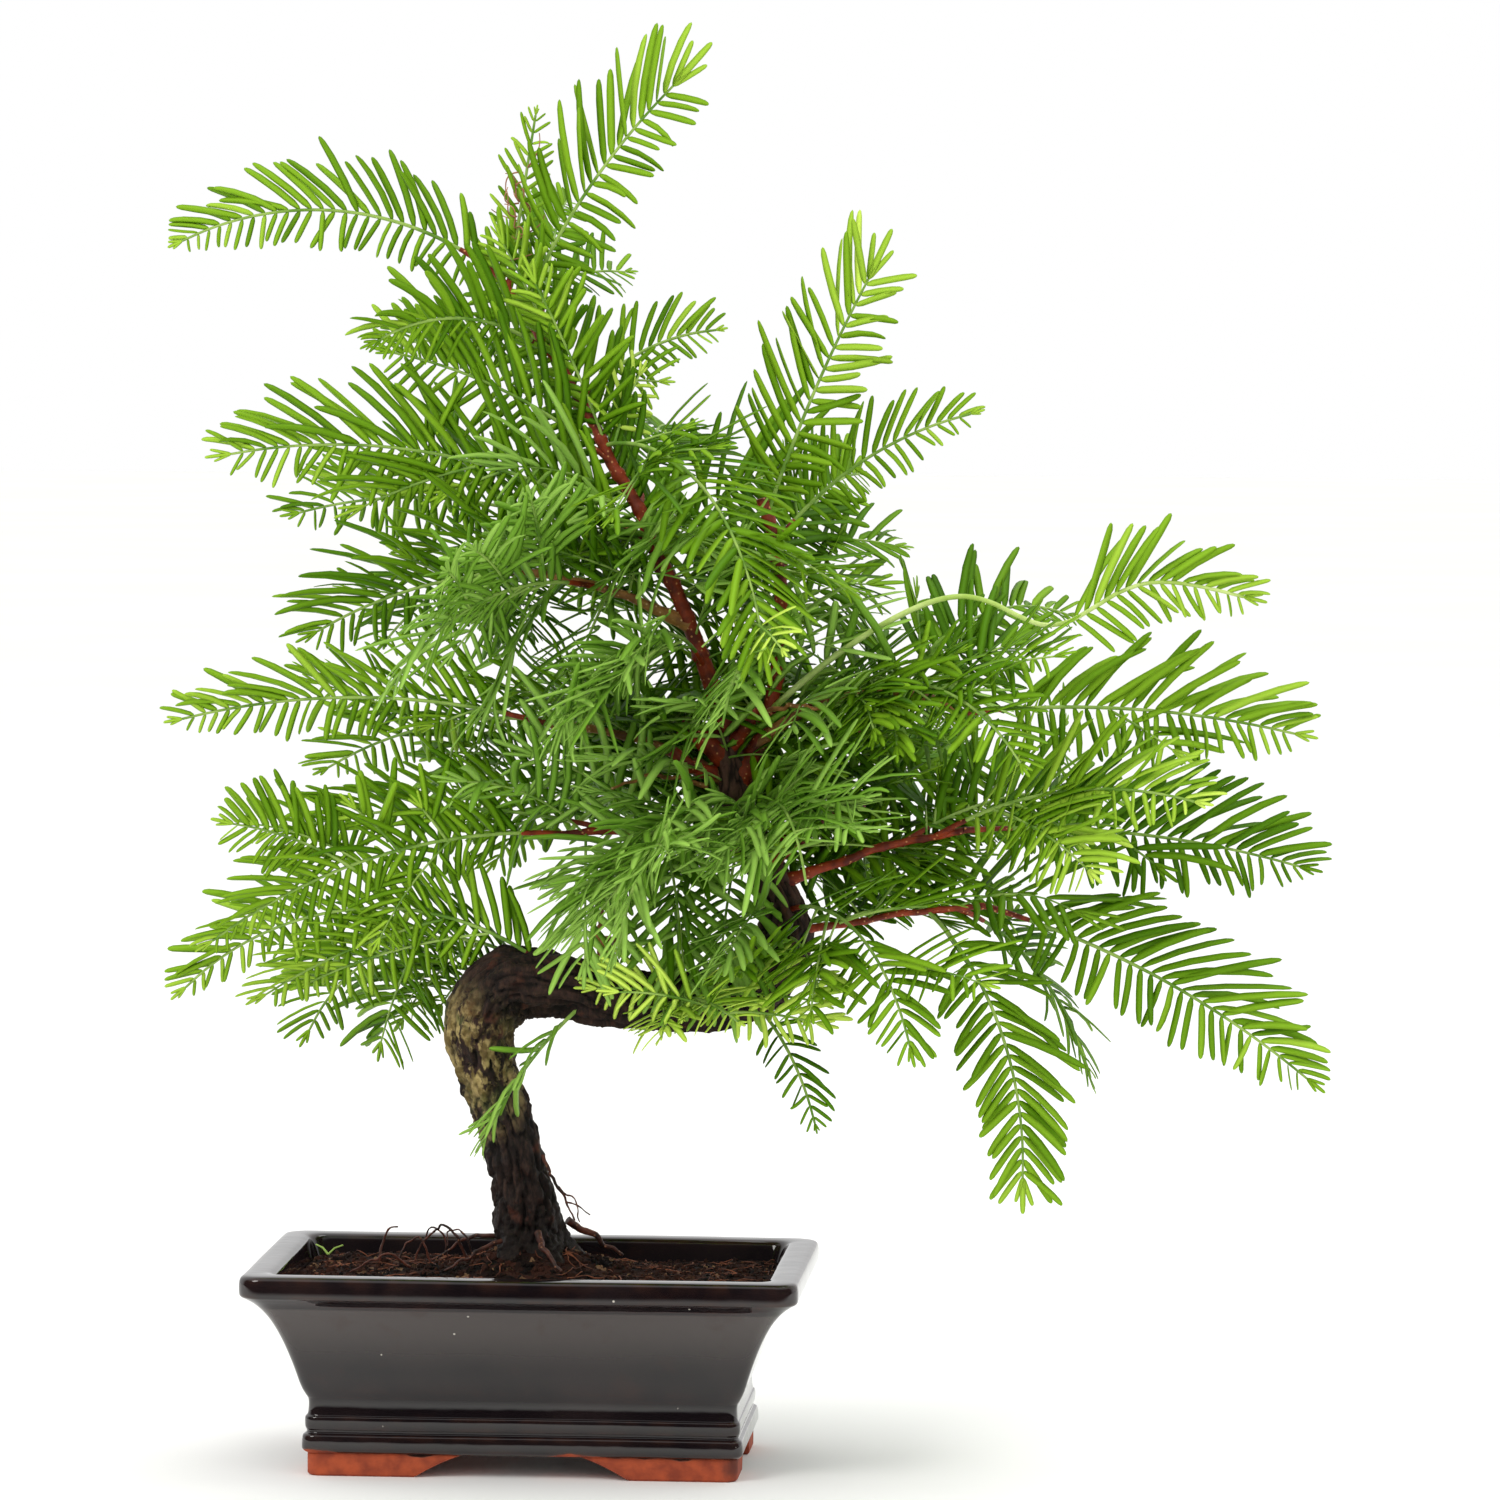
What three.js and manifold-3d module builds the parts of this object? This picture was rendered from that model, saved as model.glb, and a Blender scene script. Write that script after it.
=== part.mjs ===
// Dawn redwood bonsai: an S-bent trunk with two leaders, slender boughs and feathery masses of needles,
// standing in soil in a glazed rectangular pot on four bare clay feet.
// Millimetres, +Z up, the viewer's side is -Y. The tree is grown round the pot's middle, and the whole
// group is moved at the end so that its origin lies in the middle of its box, on the ground.
import * as THREE from 'three';
import { mergeVertices } from 'three/addons/utils/BufferGeometryUtils.js';
import Module from 'manifold-3d';

const wasm = await Module();
wasm.setup();

// ---------------------------------------------------------------- driving dimensions

const CLEARANCE = 0.3; // gap that neighbouring pieces keep

// The corners of the pot are rounder at the rim than further in.
const POT = { halfWidth: 90, halfDepth: 61, corner: 7, leastCorner: 3, sharpening: 0.15 };
// Outside of the pot from the ground up: [height, how far it lies inside the rim's outline].
const POT_OUTSIDE = [
  [0, 20.5], [7, 20], [8, 18.9], [12, 18.6], [13.6, 19.6], [17.5, 19.3], [20.5, 20.3],
  [27, 18.6], [36, 16], [45, 12.6], [52, 9.2], [56.6, 5.4], [59.4, 1.4], [61, 0], [65.4, 0], [67, 1.8],
];
// Inside of the pot from the rim down to the floor.
const POT_INSIDE = [[67, 9], [65.8, 10.4], [57, 12.6], [45, 18.5], [30, 24], [15, 26.5]];
const FOOT = { arch: 8.4, frontHalf: 36.5, sideHalf: 19, wall: 13, toe: 8, shoulder: 19, crown: 0.4 };
const SOIL = { edge: 57.5, pad: 61.7, padRadius: 20, padMiddle: [0, 4], slope: [0.3, 0.62, 1] };

// The trunk's middle line from the soil to the fork: [x, y, z, radius].
const TRUNK = [
  [0, 4, 62, 15.5], [-2, 4, 73, 12], [-4, 3, 89, 10.8], [-10, 2, 112, 10.3], [-16, 0, 131, 11],
  [-17, -1, 145, 12.3], [-9, -2, 156, 12.4], [5, -3, 157, 11], [23, -3, 154, 10.2], [43, -3, 152, 10],
  [61, -2, 152, 10], [75, -1, 159, 10], [82, 0, 174, 9.2], [77, 1, 191, 7.4], [69, 2, 208, 5.8],
  [64, 2, 224, 5.3], [62, 2, 240, 4.4],
];
const ROOT_FLARE = { lobes: 5, swell: 0.2, reach: 26 };
const KNOTS = { lobes: 3, swell: 0.06, twist: 0.4 };

// Leaders and boughs. Each grows from a place along its parent (0 root, 1 tip) at a heading (degrees from
// +X towards +Y) and a mean rise, over a length in mm; its rise falls by the arch on the way to its tip.
const LIMBS = [
  // name, parent, place, heading, rise, length, arch, root radius, tip radius
  ['leader_left', 'trunk', 1, 180, 63, 166, 18, 2.9, 1.3],
  ['leader_middle', 'trunk', 0.93, 8, 85, 98, -50, 2.6, 2],
  ['bough_right_upper', 'leader_middle', 0.14, 354, 11, 76, 78, 1.7, 1.2],
  ['bough_right_middle', 'trunk', 0.805, 352, 17, 66, 10, 2.3, 1.4],
  ['bough_right_lower', 'trunk', 0.745, 354, 9, 66, 6, 1.5, 1.2],
  ['bough_left_upper', 'leader_left', 0.22, 186, 18, 56, 20, 1.6, 1.2],
  ['bough_left_middle', 'trunk', 0.935, 190, 18, 64, 30, 1.7, 1.2],
  ['bough_left_lower', 'trunk', 0.845, 187, 6, 64, 30, 1.7, 1.2],
  ['bough_back_left', 'trunk', 0.89, 118, 16, 62, 16, 1.9, 1.2],
  ['bough_back_right', 'trunk', 0.845, 52, 14, 62, 16, 1.9, 1.2],
];

// Masses of needles, one main shoot each. The turn is how far the frond's blade stands up from level, and
// sides counts the side shoots. The last number, where given, counts the steps at the foot without needles.
const MASSES = [
  // name, limb, place, heading, rise, reach, arch, needle length, turn, sides, bare
  ['top_shoot', 'leader_left', 0.92, 348, 55, 112, 22, 27, 82, 0],
  ['top_left_arch', 'leader_left', 1, 189, 6, 116, 66, 28, 86, 0],
  ['top_sprig', 'leader_left', 0.97, 49, 78, 62, 0, 13, 60, 0],
  ['top_back', 'leader_left', 0.86, 89, 30, 100, 40, 26, 40, 3],
  ['top_front', 'leader_left', 0.81, 238, 4, 84, 60, 24, 40, 3],
  ['upper_back_left', 'leader_left', 0.65, 139, 14, 116, 50, 26, 50, 3],
  ['left_fan_upper', 'leader_left', 0.56, 203, 26, 95, 30, 26, 74, 2],
  ['left_fan_front', 'leader_left', 0.39, 196, 12, 156, 45, 28, 74, 3],
  ['left_fan_back', 'leader_left', 0.32, 160, 8, 150, 45, 28, 62, 3],
  ['front_arch', 'leader_left', 0.61, 309, -34, 136, 85, 20, 14, 3],
  ['right_of_leader', 'leader_left', 0.71, 36, 24, 65, 40, 22, 66, 2],
  ['left_middle', 'bough_left_upper', 1, 191, -16, 81, 30, 28, 68, 2],
  ['left_middle_front', 'bough_left_upper', 0.58, 229, -18, 108, 60, 26, 30, 4],
  ['left_middle_back', 'bough_left_upper', 0.82, 135, -15, 104, 50, 26, 40, 3],
  ['left_long', 'bough_left_middle', 1, 192, 1, 128, 30, 28, 70, 2],
  ['left_long_back', 'bough_left_middle', 0.78, 156, -9, 112, 40, 26, 50, 3],
  ['left_lower', 'bough_left_lower', 0.78, 184, 0, 112, 30, 26, 66, 2],
  ['left_low_front', 'bough_left_lower', 1, 204, -15, 134, 40, 28, 62, 3],
  ['left_lowest', 'trunk', 0.44, 188, 0, 146, 90, 28, 68, 2],
  ['left_lowest_back', 'trunk', 0.42, 155, -12, 118, 100, 28, 50, 3],
  ['centre_left', 'leader_left', 0.13, 252, 0, 84, 80, 26, 12, 5],
  ['front_left_droop', 'trunk', 0.91, 246, -27, 111, 90, 26, 12, 6],
  ['front_upper', 'leader_middle', 0.35, 262, -5, 96, 90, 24, 12, 5],
  ['front_middle', 'trunk', 0.865, 285, -5, 108, 90, 26, 12, 6],
  ['front_right_low', 'trunk', 0.77, 301, -22, 112, 80, 26, 20, 4],
  ['centre_right', 'bough_right_upper', 0.3, 318, 0, 76, 80, 24, 20, 4],
  ['upper_right_shoot', 'leader_middle', 0.94, 344, 66, 106, 10, 27, 84, 0],
  ['right_top_sprig', 'leader_middle', 0.84, 6, 34, 84, 40, 18, 76, 0],
  ['right_top_back', 'leader_middle', 0.72, 73, 24, 92, 50, 24, 50, 2],
  ['right_arch', 'leader_middle', 0.27, 352, 10, 172, 44, 28, 76, 0, 9],
  ['right_arch_front', 'bough_right_upper', 0.56, 308, 2, 100, 60, 26, 30, 4],
  ['right_arch_back', 'bough_right_upper', 0.7, 54, 14, 106, 60, 26, 40, 4],
  ['right_middle', 'bough_right_upper', 1, 0, -3, 117, 20, 28, 72, 2],
  ['right_front', 'bough_right_middle', 0.86, 329, 9, 110, 40, 28, 58, 3],
  ['right_low_middle', 'bough_right_middle', 1, 7, -6, 120, 20, 28, 68, 2],
  ['right_back', 'bough_right_middle', 0.68, 46, 5, 114, 40, 26, 48, 4],
  ['right_lower', 'bough_right_lower', 1, 354, -27, 128, 24, 28, 74, 0],
  ['right_hanging', 'bough_right_lower', 0.72, 317, -62, 112, 60, 26, 40, 0],
  ['right_hanging_back', 'bough_right_lower', 0.87, 49, -43, 98, 50, 26, 50, 1],
  ['back_left', 'bough_back_left', 1, 127, 8, 92, 60, 28, 20, 4],
  ['back_left_low', 'bough_back_left', 0.72, 146, -22, 104, 60, 28, 30, 4],
  ['back_right', 'bough_back_right', 1, 86, 12, 90, 60, 28, 20, 4],
  ['back_right_low', 'bough_back_right', 0.72, 80, -33, 74, 50, 28, 30, 3],
  ['back_upper', 'leader_left', 0.46, 88, 12, 114, 70, 26, 20, 4],
  ['low_front', 'trunk', 0.545, 302, -2, 65, 30, 22, 20, 2],
  ['low_left_sprig', 'trunk', 0.475, 228, -50, 66, 30, 22, 60, 0],
  ['low_hanging', 'trunk', 0.655, 315, -49, 58, 40, 16, 60, 0],
];

const STEP = 8; // growth step along every limb and shoot; a needle's foot is one step wide
const TWIG = { rootSize: 1.2, tipSize: 0.7 }; // a main shoot's twig; from its middle to its section's corners
const SIDE_TWIG = { rootSize: 0.9, tipSize: 0.6 };
const TWIG_SECTION = [[1, 0.4], [-1, 0.4], [0, -0.8]]; // left, right and under, as [to the left, up]
const BARE = { main: 2, side: 1 }; // steps without needles at a shoot's foot
// Side shoots: places tried between from and to along the main one, angle to it plus a random spread, roll
// about it, length as a share of the reach at foot and tip, and how much places and lengths vary.
const SIDE_SHOOTS = {
  tries: 8, from: 0.14, to: 0.75, stray: 0.6, angle: 36, spread: 18, roll: 50,
  longest: 0.58, shortest: 0.34, vary: 0.2, arch: 24, fewestSteps: 3, needle: 0.9,
};
// Needles: lean at a shoot's foot and tip, lift above its blade, and the length left there. Shares are the
// lengths that are tried in turn, and tested are the places along a needle that need room.
const NEEDLE = {
  rootAngle: 72, tipAngle: 42, lift: 0.22, footShort: 0.62, tipShort: 0.8,
  shares: [1, 0.8, 0.62, 0.46], tested: [0.2, 0.6, 1],
};
const SPACE_MARGIN = 3.8; // what a needle's middle line keeps to the next mass's space
const SPRAY_MARGIN = -5; // needles of one mass may reach this far past each other, since they are fused
const LIMB_MARGIN = 2.2; // what needles and side shoots keep to every limb's bark
const TREE_SEED = 1941;

// ---------------------------------------------------------------- growth

/** A linear congruential generator: the same seed always gives the same tree. */
function randomSource(seed) {
  let state = seed;
  return () => {
    state = (state * 1664525 + 1013904223) % 4294967296;
    return state / 4294967296;
  };
}

function direction(heading, rise) {
  const turn = THREE.MathUtils.degToRad(heading);
  const climb = THREE.MathUtils.degToRad(rise);
  const level = Math.cos(climb);
  return new THREE.Vector3(Math.cos(turn) * level, Math.sin(turn) * level, Math.sin(climb));
}

/** A shoot whose rise falls evenly by the arch from foot to tip; level points square across its heading. */
function grow(foot, heading, rise, length, arch) {
  const steps = Math.max(2, Math.round(length / STEP));
  const points = [foot.clone()];
  for (let i = 0; i < steps; i += 1) {
    const done = (i + 0.5) / steps;
    const stride = direction(heading, rise + arch * (0.5 - done)).multiplyScalar(length / steps);
    points.push(points[i].clone().add(stride));
  }
  return { points, level: direction(heading + 90, 0) };
}

/** Direction, left side and top side at every point of a path; its left side is turned up from level. */
function framesAlong({ points, level, turn = 0 }) {
  const roll = THREE.MathUtils.degToRad(turn);
  return points.map((point, i) => {
    const ahead = points[Math.min(i + 1, points.length - 1)];
    const behind = points[Math.max(i - 1, 0)];
    const tangent = ahead.clone().sub(behind).normalize();
    const flat = level.clone().addScaledVector(tangent, -level.dot(tangent)).normalize();
    const side = flat.clone().applyAxisAngle(tangent, roll);
    return { point, tangent, side, top: tangent.clone().cross(side) };
  });
}

/** Where a fraction of a path's length falls. */
function placeOn({ points }, fraction) {
  const lengths = [0];
  for (let i = 1; i < points.length; i += 1) {
    lengths.push(lengths[i - 1] + points[i].distanceTo(points[i - 1]));
  }
  const wanted = fraction * lengths[lengths.length - 1];
  const next = Math.max(1, lengths.findIndex((length) => length >= wanted - 1e-9));
  const share = (wanted - lengths[next - 1]) / (lengths[next] - lengths[next - 1]);
  return points[next - 1].clone().lerp(points[next], share);
}

/** Distance from a point to a path, less the path's radius at the nearest place. */
function distanceToPath(point, { points, radii }) {
  const line = new THREE.Line3();
  const nearest = new THREE.Vector3();
  let least = Infinity;
  for (let i = 1; i < points.length; i += 1) {
    line.set(points[i - 1], points[i]);
    const share = line.closestPointToPointParameter(point, true);
    line.at(share, nearest);
    const radius = radii ? THREE.MathUtils.lerp(radii[i - 1], radii[i], share) : 0;
    least = Math.min(least, nearest.distanceTo(point) - radius);
  }
  return least;
}

// ---------------------------------------------------------------- solids

/** A closed skin over rings of equal count, each ring turning left round the way ahead. */
function loft(rings) {
  const count = rings[0].length;
  const corners = rings.flat();
  const faces = [];
  for (let i = 0; i + 1 < rings.length; i += 1) {
    for (let k = 0; k < count; k += 1) {
      const a = i * count + k;
      const b = i * count + ((k + 1) % count);
      faces.push(a, b, b + count, a, b + count, a + count);
    }
  }
  const last = (rings.length - 1) * count;
  for (let k = 1; k + 1 < count; k += 1) {
    faces.push(0, k + 1, k, last, last + k, last + k + 1);
  }
  return indexed(corners, faces);
}

function indexed(corners, faces) {
  const geometry = new THREE.BufferGeometry().setFromPoints(corners);
  geometry.setIndex(faces);
  return geometry;
}

function toSolid(source) {
  const geometry = source.clone();
  geometry.deleteAttribute('normal');
  geometry.deleteAttribute('uv');
  const welded = mergeVertices(geometry, 1e-5);
  return new wasm.Manifold(new wasm.Mesh({
    numProp: 3,
    vertProperties: new Float32Array(welded.attributes.position.array),
    triVerts: new Uint32Array(welded.index.array),
  }));
}

/** The largest body of a solid as a geometry; a scrap that a cut leaves loose is dropped. */
function toGeometry(solid) {
  const bodies = solid.decompose();
  const whole = bodies.reduce((best, body) => (body.volume() > best.volume() ? body : best));
  const mesh = whole.getMesh();
  const geometry = new THREE.BufferGeometry();
  geometry.setAttribute('position', new THREE.BufferAttribute(new Float32Array(mesh.vertProperties), 3));
  geometry.setIndex(new THREE.BufferAttribute(new Uint32Array(mesh.triVerts), 1));
  return geometry;
}

/** A limb as rings round its path, fuller by the skin all round and longer by it at both ends. */
function limbGeometry(limb, skin = 0) {
  const frames = framesAlong(limb);
  const rings = frames.map(({ point, tangent, side, top }, i) => {
    const overshoot = (i === 0 ? -skin : 0) + (i === frames.length - 1 ? skin : 0);
    const middle = point.clone().addScaledVector(tangent, overshoot);
    return Array.from({ length: limb.sides }, (_, k) => {
      const angle = (2 * Math.PI * k) / limb.sides;
      const radius = limb.radii[i] * limb.bulge(angle, i) + skin;
      return middle.clone()
        .addScaledVector(side, radius * Math.cos(angle))
        .addScaledVector(top, radius * Math.sin(angle));
    });
  });
  if (limb.standsOn !== undefined) {
    rings[0].forEach((corner) => corner.setZ(limb.standsOn - skin));
  }
  return loft(rings);
}

/** A spray: a three-sided tapering twig with a pointed needle left and right at every step, as one skin. */
function sprayGeometry(spray, hasRoom) {
  const { points, twig, bare, needle } = spray;
  const frames = framesAlong(spray);
  const last = frames.length - 1;
  const corners = frames.flatMap(({ point, side, top }, i) => {
    const size = THREE.MathUtils.lerp(twig.rootSize, twig.tipSize, i / last);
    return TWIG_SECTION.map(([left, up]) => (
      point.clone().addScaledVector(side, left * size).addScaledVector(top, up * size)
    ));
  });
  const faces = [0, 2, 1];
  const wall = (a, b) => faces.push(a, b, b + 3, a, b + 3, a + 3);
  const pyramid = (foot, tip) => {
    corners.push(tip);
    const apex = corners.length - 1;
    foot.forEach((corner, k) => faces.push(corner, foot[(k + 1) % foot.length], apex));
  };
  for (let i = 0; i < last; i += 1) {
    const [left, right, under] = [3 * i, 3 * i + 1, 3 * i + 2];
    wall(left, right);
    for (const [hand, a, b] of [[1, under, left], [-1, right, under]]) {
      const tip = i < bare ? undefined : needleTip(frames, i, hand, needle, hasRoom);
      if (tip) {
        pyramid([a, b, b + 3, a + 3], tip);
      } else {
        wall(a, b);
      }
    }
  }
  const end = 3 * last;
  const endTip = points[last].clone().addScaledVector(frames[last].tangent, endNeedle(needle));
  pyramid([end, end + 1, end + 2], endTip);
  return indexed(corners, faces);
}

/** A shoot ends in one needle that points straight on. */
function endNeedle(needle) {
  return needle * NEEDLE.tipShort;
}

/** Needles lean forward more towards the tip and are longest in the middle; one that finds no room is
 *  tried shorter, then left out. */
function needleTip(frames, i, hand, needle, hasRoom) {
  const done = i / (frames.length - 1);
  const lean = THREE.MathUtils.lerp(NEEDLE.rootAngle, NEEDLE.tipAngle, done);
  const angle = THREE.MathUtils.degToRad(lean);
  const shortest = done < 0.5 ? NEEDLE.footShort : NEEDLE.tipShort;
  const length = needle * THREE.MathUtils.lerp(shortest, 1, Math.sin(Math.PI * done));
  const { tangent, side, top } = frames[i];
  const foot = frames[i].point.clone().lerp(frames[i + 1].point, 0.5);
  const along = tangent.clone().multiplyScalar(Math.cos(angle))
    .addScaledVector(side, hand * Math.sin(angle))
    .addScaledVector(top, NEEDLE.lift);
  return NEEDLE.shares
    .map((share) => foot.clone().addScaledVector(along, length * share))
    .find((tip) => hasRoom(foot, tip));
}

// ---------------------------------------------------------------- pot and soil

/** A level rounded rectangle that turns left, with the same number of points at any size. */
function roundedRectangle(halfWidth, halfDepth, corner, height) {
  const outline = new THREE.Shape();
  outline.absarc(halfWidth - corner, halfDepth - corner, corner, 0, Math.PI / 2);
  outline.absarc(corner - halfWidth, halfDepth - corner, corner, Math.PI / 2, Math.PI);
  outline.absarc(corner - halfWidth, corner - halfDepth, corner, Math.PI, 1.5 * Math.PI);
  outline.absarc(halfWidth - corner, corner - halfDepth, corner, 1.5 * Math.PI, 2 * Math.PI);
  const arcs = outline.curves.filter((curve) => curve.isEllipseCurve);
  return arcs.flatMap((arc) => arc.getPoints(3).map((p) => new THREE.Vector3(p.x, p.y, height)));
}

function potRing([height, inset], gap = 0) {
  const away = inset + gap;
  const corner = Math.max(POT.leastCorner, POT.corner - away * POT.sharpening);
  return roundedRectangle(POT.halfWidth - away, POT.halfDepth - away, corner, height);
}

/** An archway between two feet, as a block that runs right through under the pot: its crown is level and
 *  falls to the toes in an S-curve. */
function archway(half, reach) {
  const { arch, toe, shoulder } = FOOT;
  const crown = half * FOOT.crown;
  const below = -1;
  const shape = new THREE.Shape();
  shape.moveTo(-half, below);
  shape.lineTo(half, below);
  shape.bezierCurveTo(half - toe, arch / 2, shoulder, arch, crown, arch);
  shape.lineTo(-crown, arch);
  shape.bezierCurveTo(-shoulder, arch, toe - half, arch / 2, -half, below);
  const block = new THREE.ExtrudeGeometry(shape, { depth: 2 * reach, bevelEnabled: false, curveSegments: 5 });
  block.translate(0, 0, -reach);
  block.rotateX(Math.PI / 2);
  return block;
}

function makePot() {
  const rings = [...POT_OUTSIDE, ...POT_INSIDE].map((level) => potRing(level));
  const body = toSolid(loft(rings));
  const footInset = POT_OUTSIDE[0][1] + FOOT.wall;
  const hollow = new THREE.BoxGeometry(
    2 * (POT.halfWidth - footInset), 2 * (POT.halfDepth - footInset), 2 * FOOT.arch,
  );
  const front = toSolid(archway(FOOT.frontHalf, POT.halfDepth + 1));
  const sides = toSolid(archway(FOOT.sideHalf, POT.halfWidth + 1).rotateZ(Math.PI / 2));
  return toGeometry(body.subtract(toSolid(hollow)).subtract(front).subtract(sides));
}

/** Soil fills the pot to just below its rim and swells up to a flat pad under the trunk. */
function makeSoil() {
  const [topLevel, ...wall] = POT_INSIDE.slice(1).reverse();
  const floor = [topLevel[0] + CLEARANCE, topLevel[1]];
  const below = wall.filter(([height]) => height < SOIL.edge);
  const edgeInset = insideInset(SOIL.edge);
  const rings = [floor, ...below, [SOIL.edge, edgeInset]].map((level) => potRing(level, CLEARANCE));
  const edge = rings[rings.length - 1];
  const [padX, padY] = SOIL.padMiddle;
  for (const share of SOIL.slope) {
    const swell = share * share * (3 - 2 * share);
    rings.push(edge.map((point) => {
      const angle = Math.atan2(point.y - padY, point.x - padX);
      const pad = new THREE.Vector3(
        padX + SOIL.padRadius * Math.cos(angle), padY + SOIL.padRadius * Math.sin(angle), 0,
      );
      return point.clone().lerp(pad, share).setZ(THREE.MathUtils.lerp(SOIL.edge, SOIL.pad, swell));
    }));
  }
  return loft(rings);
}

function insideInset(height) {
  const above = POT_INSIDE.findIndex(([level]) => level < height);
  const [high, low] = [POT_INSIDE[above - 1], POT_INSIDE[above]];
  return THREE.MathUtils.mapLinear(height, low[0], high[0], low[1], high[1]);
}

// ---------------------------------------------------------------- trunk, leaders and boughs

const limbs = {};

function makeTrunk() {
  const curve = (places) => new THREE.CatmullRomCurve3(places, false, 'catmullrom', 0.5);
  const course = curve(TRUNK.map(([x, y, z]) => new THREE.Vector3(x, y, z)));
  const girth = curve(TRUNK.map(([, , , radius]) => new THREE.Vector3(radius, 0, 0)));
  const count = (TRUNK.length - 1) * 2;
  const points = Array.from({ length: count + 1 }, (_, i) => course.getPoint(i / count));
  const radii = points.map((_, i) => girth.getPoint(i / count).x);
  const flare = (i) => Math.max(0, 1 - (points[i].z - points[0].z) / ROOT_FLARE.reach);
  const bulge = (angle, i) => 1
    + ROOT_FLARE.swell * flare(i) * Math.cos(ROOT_FLARE.lobes * angle)
    + KNOTS.swell * Math.sin(KNOTS.lobes * angle + KNOTS.twist * i);
  return { points, radii, bulge, sides: 12, level: new THREE.Vector3(0, 1, 0), standsOn: TRUNK[0][2] };
}

function growLimb([, parent, place, heading, rise, length, arch, rootRadius, tipRadius]) {
  const path = grow(placeOn(limbs[parent], place), heading, rise, length, arch);
  const last = path.points.length - 1;
  const radii = path.points.map((_, i) => THREE.MathUtils.lerp(rootRadius, tipRadius, i / last));
  return { ...path, radii, bulge: () => 1, sides: 6 };
}

limbs.trunk = makeTrunk();
for (const row of LIMBS) {
  limbs[row[0]] = growLimb(row);
}

/** Every limb as a solid that is cut clear of the limbs before it, and all of them together a little fuller,
 *  as what the masses are cut clear of. */
function makeLimbSolids() {
  const solids = {};
  let taken = null;
  for (const [name, limb] of Object.entries(limbs)) {
    const solid = toSolid(limbGeometry(limb));
    solids[name] = taken ? solid.subtract(taken) : solid;
    const fuller = toSolid(limbGeometry(limb, CLEARANCE));
    taken = taken ? taken.add(fuller) : fuller;
  }
  return { solids, taken };
}

// ---------------------------------------------------------------- masses of needles

/** The reach in a mass's row is measured to the end needle's tip. */
const mainShoots = MASSES.map(([, limb, place, heading, rise, reach, arch, needle]) => (
  grow(placeOn(limbs[limb], place), heading, rise, reach - endNeedle(needle), arch)
));

/** A place belongs to the mass whose main shoot is nearest, and keeps clear of every limb. */
function isFree(point, mass) {
  const own = distanceToPath(point, mainShoots[mass]);
  const crowded = mainShoots.some((shoot, other) => (
    other !== mass && distanceToPath(point, shoot) < own + SPACE_MARGIN
  ));
  return !crowded && Object.values(limbs).every((limb) => (
    distanceToPath(point, limb) > LIMB_MARGIN
  ));
}

/** Side shoots leave the main one left and right in turn, from its foot on, until it bears its count; each
 *  stops where it would leave the mass's space. */
function growSideShoots(main, mass, reach, count, random) {
  const frames = framesAlong(main);
  const shoots = [];
  for (let k = 0; k < SIDE_SHOOTS.tries && shoots.length < count; k += 1) {
    const tried = (k + SIDE_SHOOTS.stray * random()) / SIDE_SHOOTS.tries;
    const along = THREE.MathUtils.lerp(SIDE_SHOOTS.from, SIDE_SHOOTS.to, tried);
    const angle = THREE.MathUtils.degToRad(SIDE_SHOOTS.angle + SIDE_SHOOTS.spread * random());
    const share = THREE.MathUtils.lerp(SIDE_SHOOTS.longest, SIDE_SHOOTS.shortest, along);
    const length = reach * share * (1 + SIDE_SHOOTS.vary * (2 * random() - 1));
    const turn = main.turn + SIDE_SHOOTS.roll * (random() - 0.5);
    const hand = k % 2 === 0 ? 1 : -1;
    const { point, tangent, side } = frames[Math.round(along * (frames.length - 1))];
    const ahead = tangent.clone().multiplyScalar(Math.cos(angle))
      .addScaledVector(side, hand * Math.sin(angle));
    const heading = THREE.MathUtils.radToDeg(Math.atan2(ahead.y, ahead.x));
    const rise = THREE.MathUtils.radToDeg(Math.asin(ahead.z));
    const path = grow(point, heading, rise, length, SIDE_SHOOTS.arch);
    const blocked = path.points.findIndex((place, i) => i > 1 && !isFree(place, mass));
    const points = blocked < 0 ? path.points : path.points.slice(0, blocked - 1);
    if (points.length > SIDE_SHOOTS.fewestSteps) {
      const needle = SIDE_SHOOTS.needle * main.needle;
      shoots.push({ ...path, points, turn, twig: SIDE_TWIG, bare: BARE.side, needle });
    }
  }
  return shoots;
}

/** A needle stays where its own spray is about the nearest of its mass and its mass the nearest of all. */
function roomFor(own, sprays, mass) {
  return (foot, tip) => NEEDLE.tested.every((share) => {
    const point = foot.clone().lerp(tip, share);
    const reach = distanceToPath(point, own) + SPRAY_MARGIN;
    const nearest = sprays.every((other) => other === own || distanceToPath(point, other) > reach);
    return nearest && isFree(point, mass);
  });
}

function makeMass(row, mass, taken) {
  const [, , , , , reach, , needle, turn, sides, bare = BARE.main] = row;
  const random = randomSource(TREE_SEED + 97 * mass);
  const main = { ...mainShoots[mass], turn, twig: TWIG, bare, needle };
  const sprays = [main, ...growSideShoots(main, mass, reach, sides, random)];
  return toGeometry(sprays
    .map((spray) => toSolid(sprayGeometry(spray, roomFor(spray, sprays, mass))))
    .reduce((whole, spray) => whole.add(spray))
    .subtract(taken));
}

// ---------------------------------------------------------------- the part

const materials = {
  glaze: () => new THREE.MeshStandardMaterial({ color: 0x24231f, roughness: 0.12, metalness: 0 }),
  soil: () => new THREE.MeshStandardMaterial({ color: 0x3a1d10, roughness: 0.95, metalness: 0 }),
  bark: () => new THREE.MeshStandardMaterial({ color: 0x3b2a1e, roughness: 0.9, metalness: 0 }),
  needles: () => new THREE.MeshStandardMaterial({ color: 0x4f9a24, roughness: 0.5, metalness: 0 }),
};

const tree = new THREE.Group();

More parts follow.
